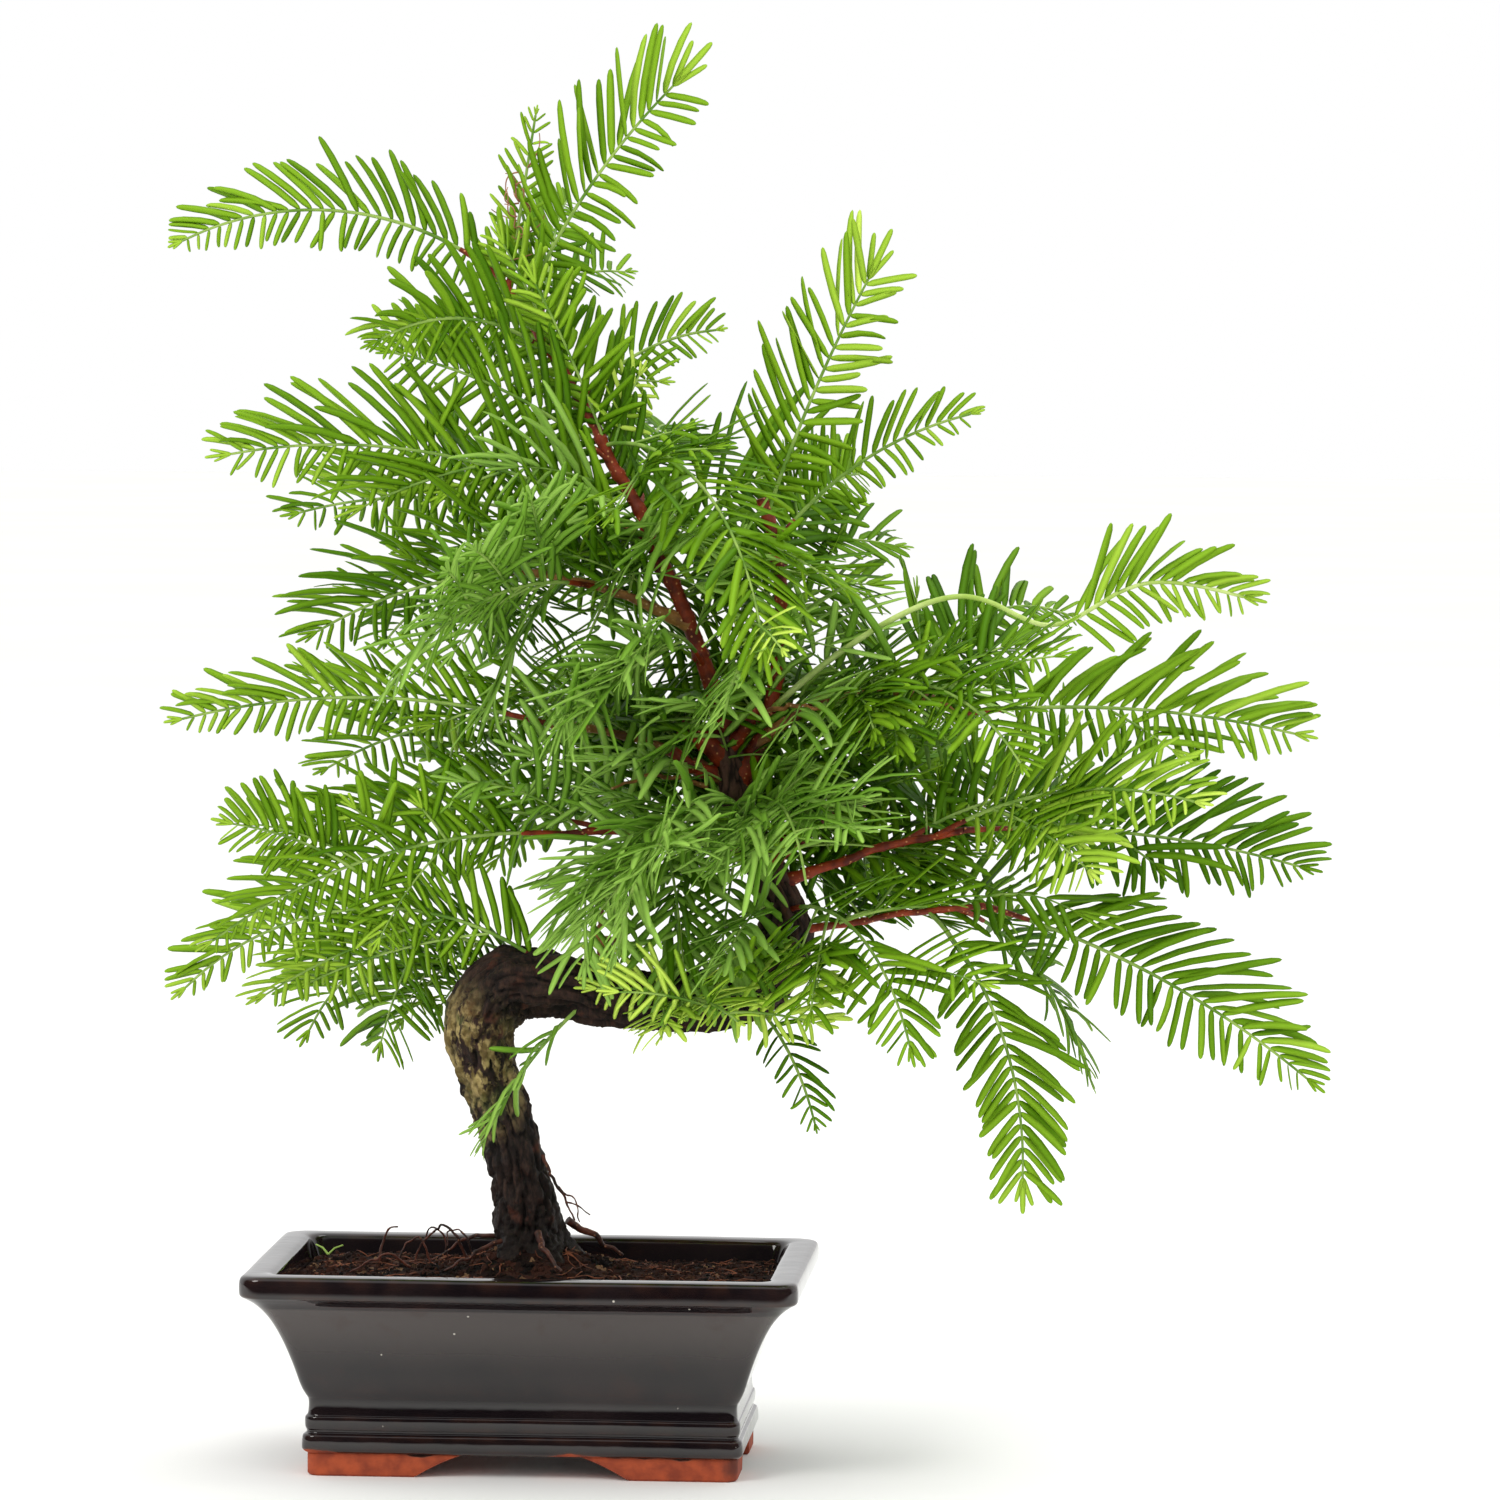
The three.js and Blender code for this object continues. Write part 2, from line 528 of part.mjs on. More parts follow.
function place(name, geometry, material) {
  const mesh = new THREE.Mesh(geometry, material);
  mesh.name = name;
  tree.add(mesh);
}

place('pot', makePot(), materials.glaze());
place('soil', makeSoil(), materials.soil());
const { solids, taken } = makeLimbSolids();
for (const [name, solid] of Object.entries(solids)) {
  place(name, toGeometry(solid), materials.bark());
}
MASSES.forEach((row, mass) => place(`needles_${row[0]}`, makeMass(row, mass, taken), materials.needles()));

const box = new THREE.Box3().setFromObject(tree);
tree.position.set(-(box.min.x + box.max.x) / 2, -(box.min.y + box.max.y) / 2, -box.min.z);

const part = new THREE.Group();
part.add(tree);
export default part;
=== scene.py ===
# %% [markdown]
# # A dawn redwood bonsai
# The dawn redwood is a conifer with soft, flat needles that stand in pairs along slender green shoots, so
# that a shoot looks like a feather. Grown in a shallow pot it keeps all that at a small size: a stout trunk,
# bent when it was young, two leaders, a few thin boughs, and some fifty fronds round them.
#
# The lesson builds it from the pot up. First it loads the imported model, which is the fixed frame: where a
# piece stands is always worked out from there, so nothing has to be fitted by eye afterwards.

# %% Load the frame
import math
from dataclasses import dataclass, replace

import bmesh
import bpy
import numpy as np
from mathutils import Matrix, Vector, noise


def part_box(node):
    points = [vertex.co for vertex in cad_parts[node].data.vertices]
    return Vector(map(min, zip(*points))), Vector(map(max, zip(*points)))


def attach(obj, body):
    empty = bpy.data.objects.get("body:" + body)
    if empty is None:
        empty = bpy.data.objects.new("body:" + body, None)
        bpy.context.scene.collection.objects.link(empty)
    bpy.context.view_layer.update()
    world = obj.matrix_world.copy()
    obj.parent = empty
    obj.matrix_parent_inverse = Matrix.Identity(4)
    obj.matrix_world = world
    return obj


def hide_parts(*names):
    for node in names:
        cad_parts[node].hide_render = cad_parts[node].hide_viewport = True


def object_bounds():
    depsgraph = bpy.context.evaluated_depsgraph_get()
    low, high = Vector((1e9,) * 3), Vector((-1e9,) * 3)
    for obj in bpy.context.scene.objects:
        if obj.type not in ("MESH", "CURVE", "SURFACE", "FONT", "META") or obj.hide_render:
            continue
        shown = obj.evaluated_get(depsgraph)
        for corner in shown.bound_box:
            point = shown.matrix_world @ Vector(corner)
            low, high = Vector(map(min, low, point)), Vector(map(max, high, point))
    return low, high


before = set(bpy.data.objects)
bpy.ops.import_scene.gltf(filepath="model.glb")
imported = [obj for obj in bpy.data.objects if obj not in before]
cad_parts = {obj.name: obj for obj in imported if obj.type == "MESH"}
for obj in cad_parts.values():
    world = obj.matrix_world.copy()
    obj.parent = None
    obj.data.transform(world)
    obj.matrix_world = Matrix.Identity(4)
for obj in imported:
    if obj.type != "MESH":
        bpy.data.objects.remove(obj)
cad_box = [list(corner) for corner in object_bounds()]
MM = 0.001
pot_low, pot_high = (np.array(corner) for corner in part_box("pot"))
POT_MIDDLE = np.array([(pot_low[0] + pot_high[0]) / 2, (pot_low[1] + pot_high[1]) / 2, 0.0])
MASS_NODES = sorted(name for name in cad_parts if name.startswith("needles_"))
print(f"{len(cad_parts)} solids, {len(MASS_NODES)} of them masses of needles")
print("whole object, m:", [round(float(high - low), 3) for low, high in zip(*cad_box)])


# %% [markdown]
# ## Small helpers
# The plant is measured in millimetres from the middle of the pot, because that is how a grower would
# measure it. One function takes such places into the frame, one links an object, and one makes a mesh object
# of places and faces.
#
# A skin over rings is the form behind most pieces here: the pot's wall, the soil, the trunk. Each ring turns
# left round the way ahead, and then every face of the skin looks outwards.

# %% Places, meshes and skins
def to_frame(places):
    """Millimetres from the pot's middle into metres in the frame."""
    return np.asarray(places, float) * MM + POT_MIDDLE


def linked(name, data):
    """A new object in the scene for a mesh, lamp or camera."""
    thing = bpy.data.objects.new(name, data)
    bpy.context.collection.objects.link(thing)
    return thing


def plain_mesh(name, places, edges=(), faces=()):
    mesh = bpy.data.meshes.new(name)
    mesh.from_pydata(places, edges, faces)
    return mesh


def mesh_object(name, places, faces, material=None, crease=None):
    """A smooth-shaded mesh object; edges that turn by more than the crease, in degrees, stay sharp."""
    mesh = plain_mesh(name, to_frame(places).tolist(), [], faces)
    mesh.shade_smooth()
    if crease:
        mesh.set_sharp_from_angle(angle=math.radians(crease))
    if material:
        mesh.materials.append(material)
    return linked(name, mesh)


def skin(rings):
    """Faces over rings of equal count, with a flat cap at both ends."""
    count, sides = rings.shape[:2]
    k = np.arange(sides)
    start = (np.arange(count - 1) * sides)[:, None]
    ahead = start + sides
    walls = np.stack([start + k, start + (k + 1) % sides, ahead + (k + 1) % sides, ahead + k], axis=-1)
    caps = [k[::-1].tolist(), (k + (count - 1) * sides).tolist()]
    return walls.reshape(-1, 4).tolist() + caps


def keep_each(mesh, **layers):
    """Keep a number or a vector for every vertex, which a material or a node tree can read by its name."""
    for name, values in layers.items():
        values = np.asarray(values, np.float32)
        is_vector = values.ndim == 2 and values.shape[1] == 3
        kind, field = ("FLOAT_VECTOR", "vector") if is_vector else ("FLOAT", "value")
        mesh.attributes.new(name, kind, "POINT").data.foreach_set(field, values.ravel())


def roughness(places, size, octaves=3, seed=0.0):
    """Fractal noise at every place, about -1 to 1; size is that of its lumps, one number or one per axis."""
    spots = np.asarray(places, float) / size + seed
    return np.array([noise.fractal(Vector(spot), 1.0, 2.0, octaves) for spot in spots])


def unit(vectors):
    return vectors / np.linalg.norm(vectors, axis=-1, keepdims=True)


def finish_piece(piece, slot, *nodes):
    """Every piece rides on the one body and may stand for solids of the frame, which are hidden; slot is not
    used.
    """
    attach(piece, "root")
    if nodes:
        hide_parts(*nodes)
    triangles = sum(len(face.vertices) - 2 for face in piece.data.polygons)
    print(f"{piece.name}: {triangles} triangles")
    return piece


print("middle of the pot, m:", [round(float(part), 4) for part in POT_MIDDLE])


# %% [markdown]
# ## A short way to write node trees
# Materials and Geometry Nodes are both graphs. Written out link by link they take many lines, so this small
# class makes a node, fills its inputs with numbers or with another node's output, and hands the node back.

# %% Node tree helper
class Graph:
    def __init__(self, tree):
        self.tree = tree

    def add(self, kind, inputs=None, **settings):
        """A node; inputs maps a socket's name or number to a value or to another node's output."""
        node = self.tree.nodes.new(kind)
        for name, value in settings.items():
            setattr(node, name, value)
        for key, value in (inputs or {}).items():
            if isinstance(value, bpy.types.NodeSocket):
                self.tree.links.new(value, node.inputs[key])
            else:
                node.inputs[key].default_value = value
        return node

    def sum(self, operation, *numbers):
        return self.add("ShaderNodeMath", dict(enumerate(numbers)), operation=operation).outputs[0]

    def times(self, first, second):
        return self.sum("MULTIPLY", first, second)

    def vector(self, operation, inputs):
        return self.add("ShaderNodeVectorMath", inputs, operation=operation).outputs

    def place(self):
        return self.add("ShaderNodeTexCoord").outputs["Object"]

    def axis(self, where, name):
        return self.add("ShaderNodeSeparateXYZ", {0: where}).outputs[name]

    def stored(self, name):
        """A number kept on the mesh."""
        return self.add("ShaderNodeAttribute", attribute_name=name).outputs["Fac"]

    def noise(self, where, scale, detail=3.0, rough=0.5):
        inputs = {"Vector": where, "Scale": scale, "Detail": detail, "Roughness": rough}
        return self.add("ShaderNodeTexNoise", inputs).outputs["Fac"]

    def cells(self, where, scale):
        return self.add("ShaderNodeTexVoronoi", {"Vector": where, "Scale": scale}).outputs

    def between(self, value, low, high, to_low=0.0, to_high=1.0):
        """A value stretched so that low gives to_low and high gives to_high, smoothly and no further."""
        inputs = {"Value": value, "From Min": low, "From Max": high, "To Min": to_low, "To Max": to_high}
        return self.add("ShaderNodeMapRange", inputs, interpolation_type="SMOOTHSTEP").outputs[0]

    def patches(self, where, scale, low, high, detail=3.0, rough=0.5, least=0.0, most=1.0):
        """Noise that is cut off below low and above high, so that it lies in patches."""
        return self.between(self.noise(where, scale, detail, rough), low, high, least, most)

    def blend(self, share, first, second):
        """One colour into another."""
        return self.add("ShaderNodeMix", {0: share, 6: first, 7: second}, data_type="RGBA").outputs[2]

    def tint(self, base, code, share, strength=1.0):
        """A colour laid over another, thin or thick by its strength."""
        return self.blend(share if strength == 1.0 else self.times(share, strength), base, colour(code))

    def stretched(self, where, upright):
        """Coordinates that a pattern reads drawn out up and down."""
        return self.add("ShaderNodeMapping", {"Vector": where, "Scale": (1.0, 1.0, upright)}).outputs[0]


def colour(code):
    """A colour as a painter writes it, RRGGBB, into the linear numbers that the shader wants."""
    parts = [int(code[i:i + 2], 16) / 255 for i in (0, 2, 4)]
    return [p / 12.92 if p <= 0.04045 else ((p + 0.055) / 1.055) ** 2.4 for p in parts] + [1.0]


def new_material(name, **plain):
    """A material with one Principled shader; plain gives its sockets' numbers, spaces written as _."""
    material = bpy.data.materials.new(name)
    material.use_nodes = True
    shader = material.node_tree.nodes["Principled BSDF"]
    for key, value in plain.items():
        shader.inputs[key.replace("_", " ")].default_value = value
    return material, Graph(material.node_tree), shader


def wire(graph, shader, base=None, rough=None, height=None, bump=(0.5, 0.001)):
    """Link a pattern's colour, roughness and relief to the shader; bump is its strength and depth."""
    links = graph.tree.links
    if base:
        links.new(base, shader.inputs["Base Color"])
    if rough:
        links.new(rough, shader.inputs["Roughness"])
    if height:
        inputs = {"Height": height, "Strength": bump[0], "Distance": bump[1]}
        links.new(graph.add("ShaderNodeBump", inputs).outputs[0], shader.inputs["Normal"])


print("linear numbers of the clay's red:", [round(part, 3) for part in colour("aa4820")[:3]])


# %% [markdown]
# ## Chance that repeats
# A tree has to look grown, yet come out the same on every run. The same small generator that the solids were
# grown with gives the numbers: a multiplication, a sum and a remainder.

# %% Seeded numbers
class Chance:
    def __init__(self, seed):
        self.state = seed

    def draw(self):
        self.state = (self.state * 1664525 + 1013904223) % 4294967296
        return self.state / 4294967296

    def between(self, low, high):
        return low + (high - low) * self.draw()


print("the first number of seed 1941 is", round(Chance(1941).draw(), 4))


# %% [markdown]
# ## Camera, floor and light
# The plant is shown as a catalogue shows it: straight on, from a little above the pot's rim, with a long lens
# so that nothing is drawn out of shape, on a white floor without an end. Light comes from everywhere, as in a
# white tent, with one large soft lamp from the upper left to model the needles.
#
# A black glaze shows what it mirrors. A real studio is bright behind the pot and dark on the side of the
# camera, so the world is white for the camera and for soft light, and darker on the near side for mirrored
# rays alone. The floor does the same: it is white near the pot, and dark for mirrored rays further in front,
# where a table would end. That gives the rim its black face and the sloping wall its grey one.

# %% Camera
CAMERA = {"place": (230.0, -2350.0, 378.0), "turn": 3.9, "tilt": 3.5, "roll": 0.35}
LENS, SENSOR = 174.0, 36.0  # millimetres


def set_camera():
    data = bpy.data.cameras.new("camera")
    data.lens, data.sensor_width = LENS, SENSOR
    data.clip_start, data.clip_end = 0.05, 100.0
    camera = linked("camera", data)
    facing = Matrix.Identity(4)
    for angle, axis in ((CAMERA["turn"], "Z"), (90 - CAMERA["tilt"], "X"), (CAMERA["roll"], "Z")):
        facing @= Matrix.Rotation(math.radians(angle), 4, axis)
    camera.matrix_world = Matrix.Translation(to_frame(CAMERA["place"])) @ facing
    bpy.context.scene.camera = camera


set_camera()
print(f"the camera stands {-CAMERA['place'][1] * MM:.2f} m in front of the pot's middle")


# %% Floor
FLOOR_RADIUS, FLOOR_SIDES = 14.0, 96
TABLE_EDGE = (-0.16, -0.4)  # metres in front of the pot where the floor turns dark for mirrored rays


def make_floor():
    turns = np.linspace(0, 2 * math.pi, FLOOR_SIDES, endpoint=False)
    rim = [(FLOOR_RADIUS * math.cos(turn), FLOOR_RADIUS * math.sin(turn), 0.0) for turn in turns]
    mesh = plain_mesh("floor", rim, faces=[list(range(FLOOR_SIDES))])
    material, graph, shader = new_material("floor_paper", Roughness=0.9, Specular_IOR_Level=0.1)
    place = graph.place()
    paper = graph.blend(graph.patches(place, 3.0, 0.3, 0.7), colour("f4f4f3"), colour("f7f7f6"))
    far = graph.between(graph.axis(place, "Y"), *TABLE_EDGE)
    mirrored = graph.add("ShaderNodeLightPath").outputs["Is Glossy Ray"]
    wire(graph, shader, base=graph.tint(paper, "141416", graph.times(far, mirrored)))
    mesh.materials.append(material)
    linked("floor", mesh)


make_floor()
print("white floor,", 2 * FLOOR_RADIUS, "m across")


# %% World and lamps
def set_world():
    world = bpy.data.worlds.new("white_tent")
    bpy.context.scene.world = world
    world.use_nodes = True
    graph = Graph(world.node_tree)
    background = world.node_tree.nodes["Background"]
    rays = graph.add("ShaderNodeLightPath").outputs
    way = graph.add("ShaderNodeTexCoord").outputs["Generated"]
    behind = graph.between(graph.axis(way, "Y"), -0.15, 0.35)
    above = graph.between(graph.axis(way, "Z"), 0.45, 0.85)
    bright = graph.sum("MAXIMUM", behind, graph.times(above, 0.75))
    mirrored = graph.between(bright, 0.0, 1.0, 0.035, 1.0)
    soft = graph.blend(rays["Is Glossy Ray"], (1.12, 1.12, 1.1, 1.0), mirrored)
    seen = graph.blend(rays["Is Camera Ray"], soft, (1.0, 1.0, 1.0, 1.0))
    world.node_tree.links.new(seen, background.inputs["Color"])


def add_lamp(name, place, aim, size, watts, tint=(1.0, 1.0, 1.0)):
    data = bpy.data.lights.new(name, "AREA")
    data.shape, data.size, data.energy, data.color = "DISK", size, watts, tint
    lamp = linked(name, data)
    way = Vector(aim) - Vector(place)
    lamp.matrix_world = Matrix.Translation(place) @ way.to_track_quat("-Z", "Y").to_matrix().to_4x4()
    lamp.visible_camera = False


bpy.context.scene.view_settings.view_transform = "Standard"
set_world()
add_lamp("key_lamp", (-1.3, -1.7, 1.9), (0, 0, 0.25), 1.1, 19, (1.0, 0.98, 0.94))
add_lamp("top_lamp", (0.4, 0.3, 2.4), (0, 0, 0.2), 1.2, 12)
print("white tent with a key lamp and a top lamp")


# %% [markdown]
# ## The pot
# The pot is a low rectangle with rounded corners: a flat rim band, a neck that sweeps in, a waist with two
# soft ledges, and a bare clay foot ring. It was pressed in a mould and glazed by hand, so its lines are true
# but never sharp.
#
# A turned pot would be one profile spun round. Here the same idea works with a rounded rectangle in place of
# a circle: each level of the profile is a ring, set in from the rim's outline. The profile is drawn with few
# points and then has its corners cut three times over, which rounds every edge as thick glaze does.

# %% Outline and profile of the pot
POT = {"half_width": 90.0, "half_depth": 61.0, "corner": 7.0, "least_corner": 3.0, "sharpening": 0.15}
# Height and how far it lies inside the rim's outline, up the outside, over the rim and down the inside.
BODY_PROFILE = [
    (7.6, 19.6), (8.4, 18.7), (9.2, 18.5), (12.4, 18.6), (13.4, 19.0), (13.8, 19.9), (14.6, 20.1),
    (15.6, 19.5), (18.2, 19.4), (19.2, 19.6), (19.8, 20.4), (24.6, 20.6), (25.8, 19.8), (29, 18.1),
    (36, 16), (45, 12.6), (52, 9.0), (56.8, 5.0), (59.2, 1.6), (60.0, 0.2), (61.4, -0.1), (64.9, -0.1),
    (66.5, 0.6), (67.0, 2.4), (67.0, 8.0), (66.3, 9.9), (64.6, 10.7), (57, 12.6), (45, 18.5), (30, 24),
    (15, 26.5),
]
FOOT = {"arch": 8.4, "front_half": 36.5, "side_half": 19.0, "wall": 13.0, "toe": 8.0, "shoulder": 19.0,
        "crown": 0.4, "inset": 20.2}


def cut_corners(points, times):
    """Every corner of an open line is cut at a quarter of its two sides; the ends stay."""
    points = np.asarray(points, float)
    for _ in range(times):
        first = 0.75 * points[:-1] + 0.25 * points[1:]
        second = 0.25 * points[:-1] + 0.75 * points[1:]
        middle = np.stack([first, second], axis=1).reshape(-1, points.shape[1])
        points = np.vstack([points[:1], middle[1:-1], points[-1:]])
    return points


def rounded_rectangle(height, inset, pitch=4.0, arc_steps=9):
    """A level ring that turns left, with the same number of points at any inset."""
    half = np.array([POT["half_width"], POT["half_depth"]]) - inset
    corner = max(POT["least_corner"], POT["corner"] - inset * POT["sharpening"])
    runs = (2 * np.array([POT["half_depth"], POT["half_width"]]) / pitch).astype(int)
    ring = []
    for quarter, (x, y) in enumerate([(1, 1), (-1, 1), (-1, -1), (1, -1)]):
        middle = (half - corner) * (x, y)
        for turn in np.linspace(0, math.pi / 2, arc_steps) + quarter * math.pi / 2:
            ring.append(middle + corner * np.array([math.cos(turn), math.sin(turn)]))
        ahead = (half - corner) * [(-1, 1), (-1, -1), (1, -1), (1, 1)][quarter]
        turn = (quarter + 1) * math.pi / 2
        ahead = ahead + corner * np.array([math.cos(turn), math.sin(turn)])
        steps = runs[(quarter + 1) % 2]
        ring += [ring[-1] + (ahead - ring[-1]) * share for share in np.linspace(0, 1, steps + 1)[1:-1]]
    return np.column_stack([ring, np.full(len(ring), height)])


def pressed_by_hand(places, depth=0.28, size=46.0):
    """Slow waves of a fraction of a millimetre, as clay takes in drying, and less so upright."""
    waves = [share * roughness(places, size, 1, seed)
             for seed, share in ((3.1, 1.0), (7.7, 1.0), (12.9, 0.6))]
    return places + depth * np.column_stack(waves)


print(f"pot {2 * POT['half_width']:.0f} x {2 * POT['half_depth']:.0f} mm, {len(BODY_PROFILE)} levels")


# %% [markdown]
# The finish of the pot is one material for body and feet, so that the edge of the glaze can wander over both.
# The glaze is almost black. It runs thin over the edges and lets the brown clay through, holds a few white
# specks of ash, and stops in an uneven line just above the feet. Below that line the clay is bare: orange
# red, dull and a little sooty.

# %% Glaze and bare clay
GLAZE_LINE = 7.4  # mm above the floor


def glaze_material():
    material, graph, shader = new_material("black_glaze", IOR=1.6)
    place = graph.place()
    height = graph.axis(place, "Z")
    waver = graph.sum("MULTIPLY_ADD", graph.noise(place, 45, 4), 0.0066, -0.0033)
    line = graph.sum("SUBTRACT", graph.sum("SUBTRACT", height, waver), GLAZE_LINE * MM)
    glazed = graph.between(line, -0.0002, 0.0003)
    # Clay: orange red, mottled, with dark smears.
    clay = graph.blend(graph.patches(place, 160, 0.3, 0.7, 6), colour("802f12"), colour("aa4820"))
    clay = graph.tint(clay, "4a2016", graph.patches(place, 55, 0.56, 0.72, 5, most=0.75))
    # Glaze: black, browner where it is thin, with painted light that greys the wall under the rim, and sparse
    # pale specks.
    worn = graph.times(graph.stored("thin_glaze"), graph.patches(place, 120, 0.35, 0.7, 4))
    thin = graph.sum("MAXIMUM", worn, graph.between(line, 0.0012, 0.0, 0.0, 0.55))
    painted_light_under_rim = graph.times(graph.between(height, 0.034, 0.054), graph.between(height, 0.0565, 0.0555))
    dots = graph.cells(place, 210.0)
    chosen = graph.add("ShaderNodeSeparateColor", {0: dots["Color"]}).outputs[0]
    speck = graph.times(graph.between(dots["Distance"], 0.1, 0.05), graph.sum("GREATER_THAN", chosen, 0.9))
    glaze = graph.blend(graph.patches(place, 30, 0.35, 0.65), colour("100a0d"), colour("1d1516"))
    glaze = graph.tint(glaze, "463f3d", painted_light_under_rim, 0.9)
    rust = graph.patches(place, 85, 0.56, 0.74, 5, most=0.3)
    for code, share in (("321b14", rust), ("4b2b1b", thin), ("b9b4aa", speck)):
        glaze = graph.tint(glaze, code, share)
    gloss = graph.patches(graph.stretched(place, 0.25), 90, 0.3, 0.8, least=0.03, most=0.1)
    gloss = graph.sum("MAXIMUM", gloss, graph.times(speck, 0.6))
    rough = graph.add("ShaderNodeMix", {0: glazed, 2: 0.9, 3: gloss}).outputs[0]
    ripple = graph.times(graph.noise(place, 70, 2), glazed)
    grain = graph.times(graph.noise(place, 900, 4), graph.sum("SUBTRACT", 1.0, glazed))
    relief = graph.sum("ADD", graph.times(ripple, 0.5), graph.times(grain, 0.35))
    wire(graph, shader, graph.blend(glazed, clay, glaze), rough, relief, bump=(0.35, 0.0008))
    return material


BLACK_GLAZE = glaze_material()
print("glaze and clay meet about", GLAZE_LINE, "mm above the floor")


# %% Body of the pot
def thin_over_edges(profile):
    """1 where the profile turns outwards sharply, as on the rim's two edges, falling to 0 beside it."""
    step = unit(np.diff(profile, axis=0))
    bend = step[:-1, 0] * step[1:, 1] - step[:-1, 1] * step[1:, 0]
    bend = np.clip(np.concatenate([[0], bend, [0]]) * 3.0, 0, 1)
    return np.convolve(bend, [0.25, 0.5, 0.25], "same")


def make_pot_body():
    profile = cut_corners(BODY_PROFILE, 3)
    rings = np.array([rounded_rectangle(height, inset) for height, inset in profile])
    body = mesh_object("pot_body", pressed_by_hand(rings.reshape(-1, 3)), skin(rings), BLACK_GLAZE, crease=60)
    keep_each(body.data, thin_glaze=np.repeat(thin_over_edges(profile), rings.shape[1]))
    finish_piece(body, "glaze", "pot")


make_pot_body()


# %% [markdown]
# The foot ring is cut from one block by four archways, so that the pot stands on its corners. The cutters
# are closed solids too, and the Boolean modifier takes them out of the block. A narrow bevel then takes the
# wire-cut edges off, because fired clay has none.

# %% Feet of the pot
def archway(half, reach):
    """A block as wide as an archway at its foot, whose crown is level and falls to the toes in an S-curve."""
    corners = np.array([(half, -1.0), (half - FOOT["toe"], FOOT["arch"] / 2),
                        (FOOT["shoulder"], FOOT["arch"]), (half * FOOT["crown"], FOOT["arch"])])
    t = np.linspace(0, 1, 9)[:, None]
    right = sum(math.comb(3, k) * (1 - t) ** (3 - k) * t ** k * corners[k] for k in range(4))
    outline = np.vstack([right, right[::-1] * (-1, 1)])
    return np.array([[(x, y, z) for x, z in outline] for y in (reach, -reach)])


def cut_and_bevel(block, cutters, width, angle):
    """The block less the cutters, its edges worn by a bevel, as a plain mesh."""
    for cutter in cutters:
        cut = block.modifiers.new("archway", "BOOLEAN")
        cut.operation, cut.solver, cut.object = "DIFFERENCE", "EXACT", cutter
    soften = block.modifiers.new("worn_edges", "BEVEL")
    soften.width, soften.segments, soften.limit_method = width, 2, "ANGLE"
    soften.angle_limit = math.radians(angle)
    bpy.context.view_layer.update()
    shape = bpy.data.meshes.new_from_object(block.evaluated_get(bpy.context.evaluated_depsgraph_get()))
    block.modifiers.clear()
    block.data = shape
    for cutter in cutters:
        bpy.data.objects.remove(cutter)
    return shape


def make_feet():
    inset = FOOT["inset"]
    levels = [(0.0, inset + 0.7), (0.7, inset), (7.0, inset), (8.9, inset + 1.2)]  # height and inset
    rings = np.array([rounded_rectangle(*level) for level in levels])
    feet = mesh_object("pot_feet", rings.reshape(-1, 3), skin(rings), BLACK_GLAZE)
    inner = inset + FOOT["wall"]
    half_x, half_y = POT["half_width"] - inner, POT["half_depth"] - inner
    hollow = np.array([[(half_x * x, half_y * y, z) for x, y in ((1, 1), (-1, 1), (-1, -1), (1, -1))]
                       for z in (-2.0, FOOT["arch"])])
    front = archway(FOOT["front_half"], POT["half_depth"] + 2)
    side = archway(FOOT["side_half"], POT["half_width"] + 2)[:, :, [1, 0, 2]] * (-1, 1, 1)
    cutters = [mesh_object("cutter", block.reshape(-1, 3), skin(block)) for block in (hollow, front, side)]
    shape = cut_and_bevel(feet, cutters, width=0.8 * MM, angle=40)
    keep_each(shape, thin_glaze=np.zeros(len(shape.vertices)))
    shape.shade_smooth()
    shape.set_sharp_from_angle(angle=math.radians(35))
    finish_piece(feet, "glaze", "pot")


make_feet()


# %% [markdown]
# ## Running a node tree for good
# Geometry Nodes do the repeated work: they lay a tube along every twig and a needle at every place. The
# result has to end as a plain mesh, because instances don't survive an export. So each tree ends by making
# its instances real, a modifier runs it once, and the mesh that comes out is kept in place of the source.

# %% Tree frame and runner
SOCKETS = {"geometry": "NodeSocketGeometry", "number": "NodeSocketFloat", "count": "NodeSocketInt",
           "object": "NodeSocketObject", "material": "NodeSocketMaterial", "vector": "NodeSocketVector"}
LEFTOVERS = {"girth", "along", "face", "size", "bend", "t"}  # numbers that only the trees need


def new_tree(name, **inputs):
    """An empty Geometry Nodes tree with named inputs, its Graph, and its input node's outputs."""
    tree = bpy.data.node_groups.new(name, "GeometryNodeTree")
    tree.interface.new_socket("Source", in_out="INPUT", socket_type=SOCKETS["geometry"])
    for label, kind in inputs.items():
        tree.interface.new_socket(label.replace("_", " "), in_out="INPUT", socket_type=SOCKETS[kind])
    tree.interface.new_socket("Result", in_out="OUTPUT", socket_type=SOCKETS["geometry"])
    graph = Graph(tree)
    return graph, graph.add("NodeGroupInput").outputs


def end_tree(graph, geometry, material):
    """The last steps of every tree: make instances real, shade smooth, set the material."""
    real = graph.add("GeometryNodeRealizeInstances", {0: geometry}).outputs[0]
    smooth = graph.add("GeometryNodeSetShadeSmooth", {"Geometry": real}).outputs[0]
    painted = graph.add("GeometryNodeSetMaterial", {"Geometry": smooth, "Material": material}).outputs[0]
    graph.add("NodeGroupOutput", {0: painted})
    return graph.tree


def attribute(graph, name, kind="FLOAT"):
    return graph.add("GeometryNodeInputNamedAttribute", {"Name": name}, data_type=kind).outputs[0]


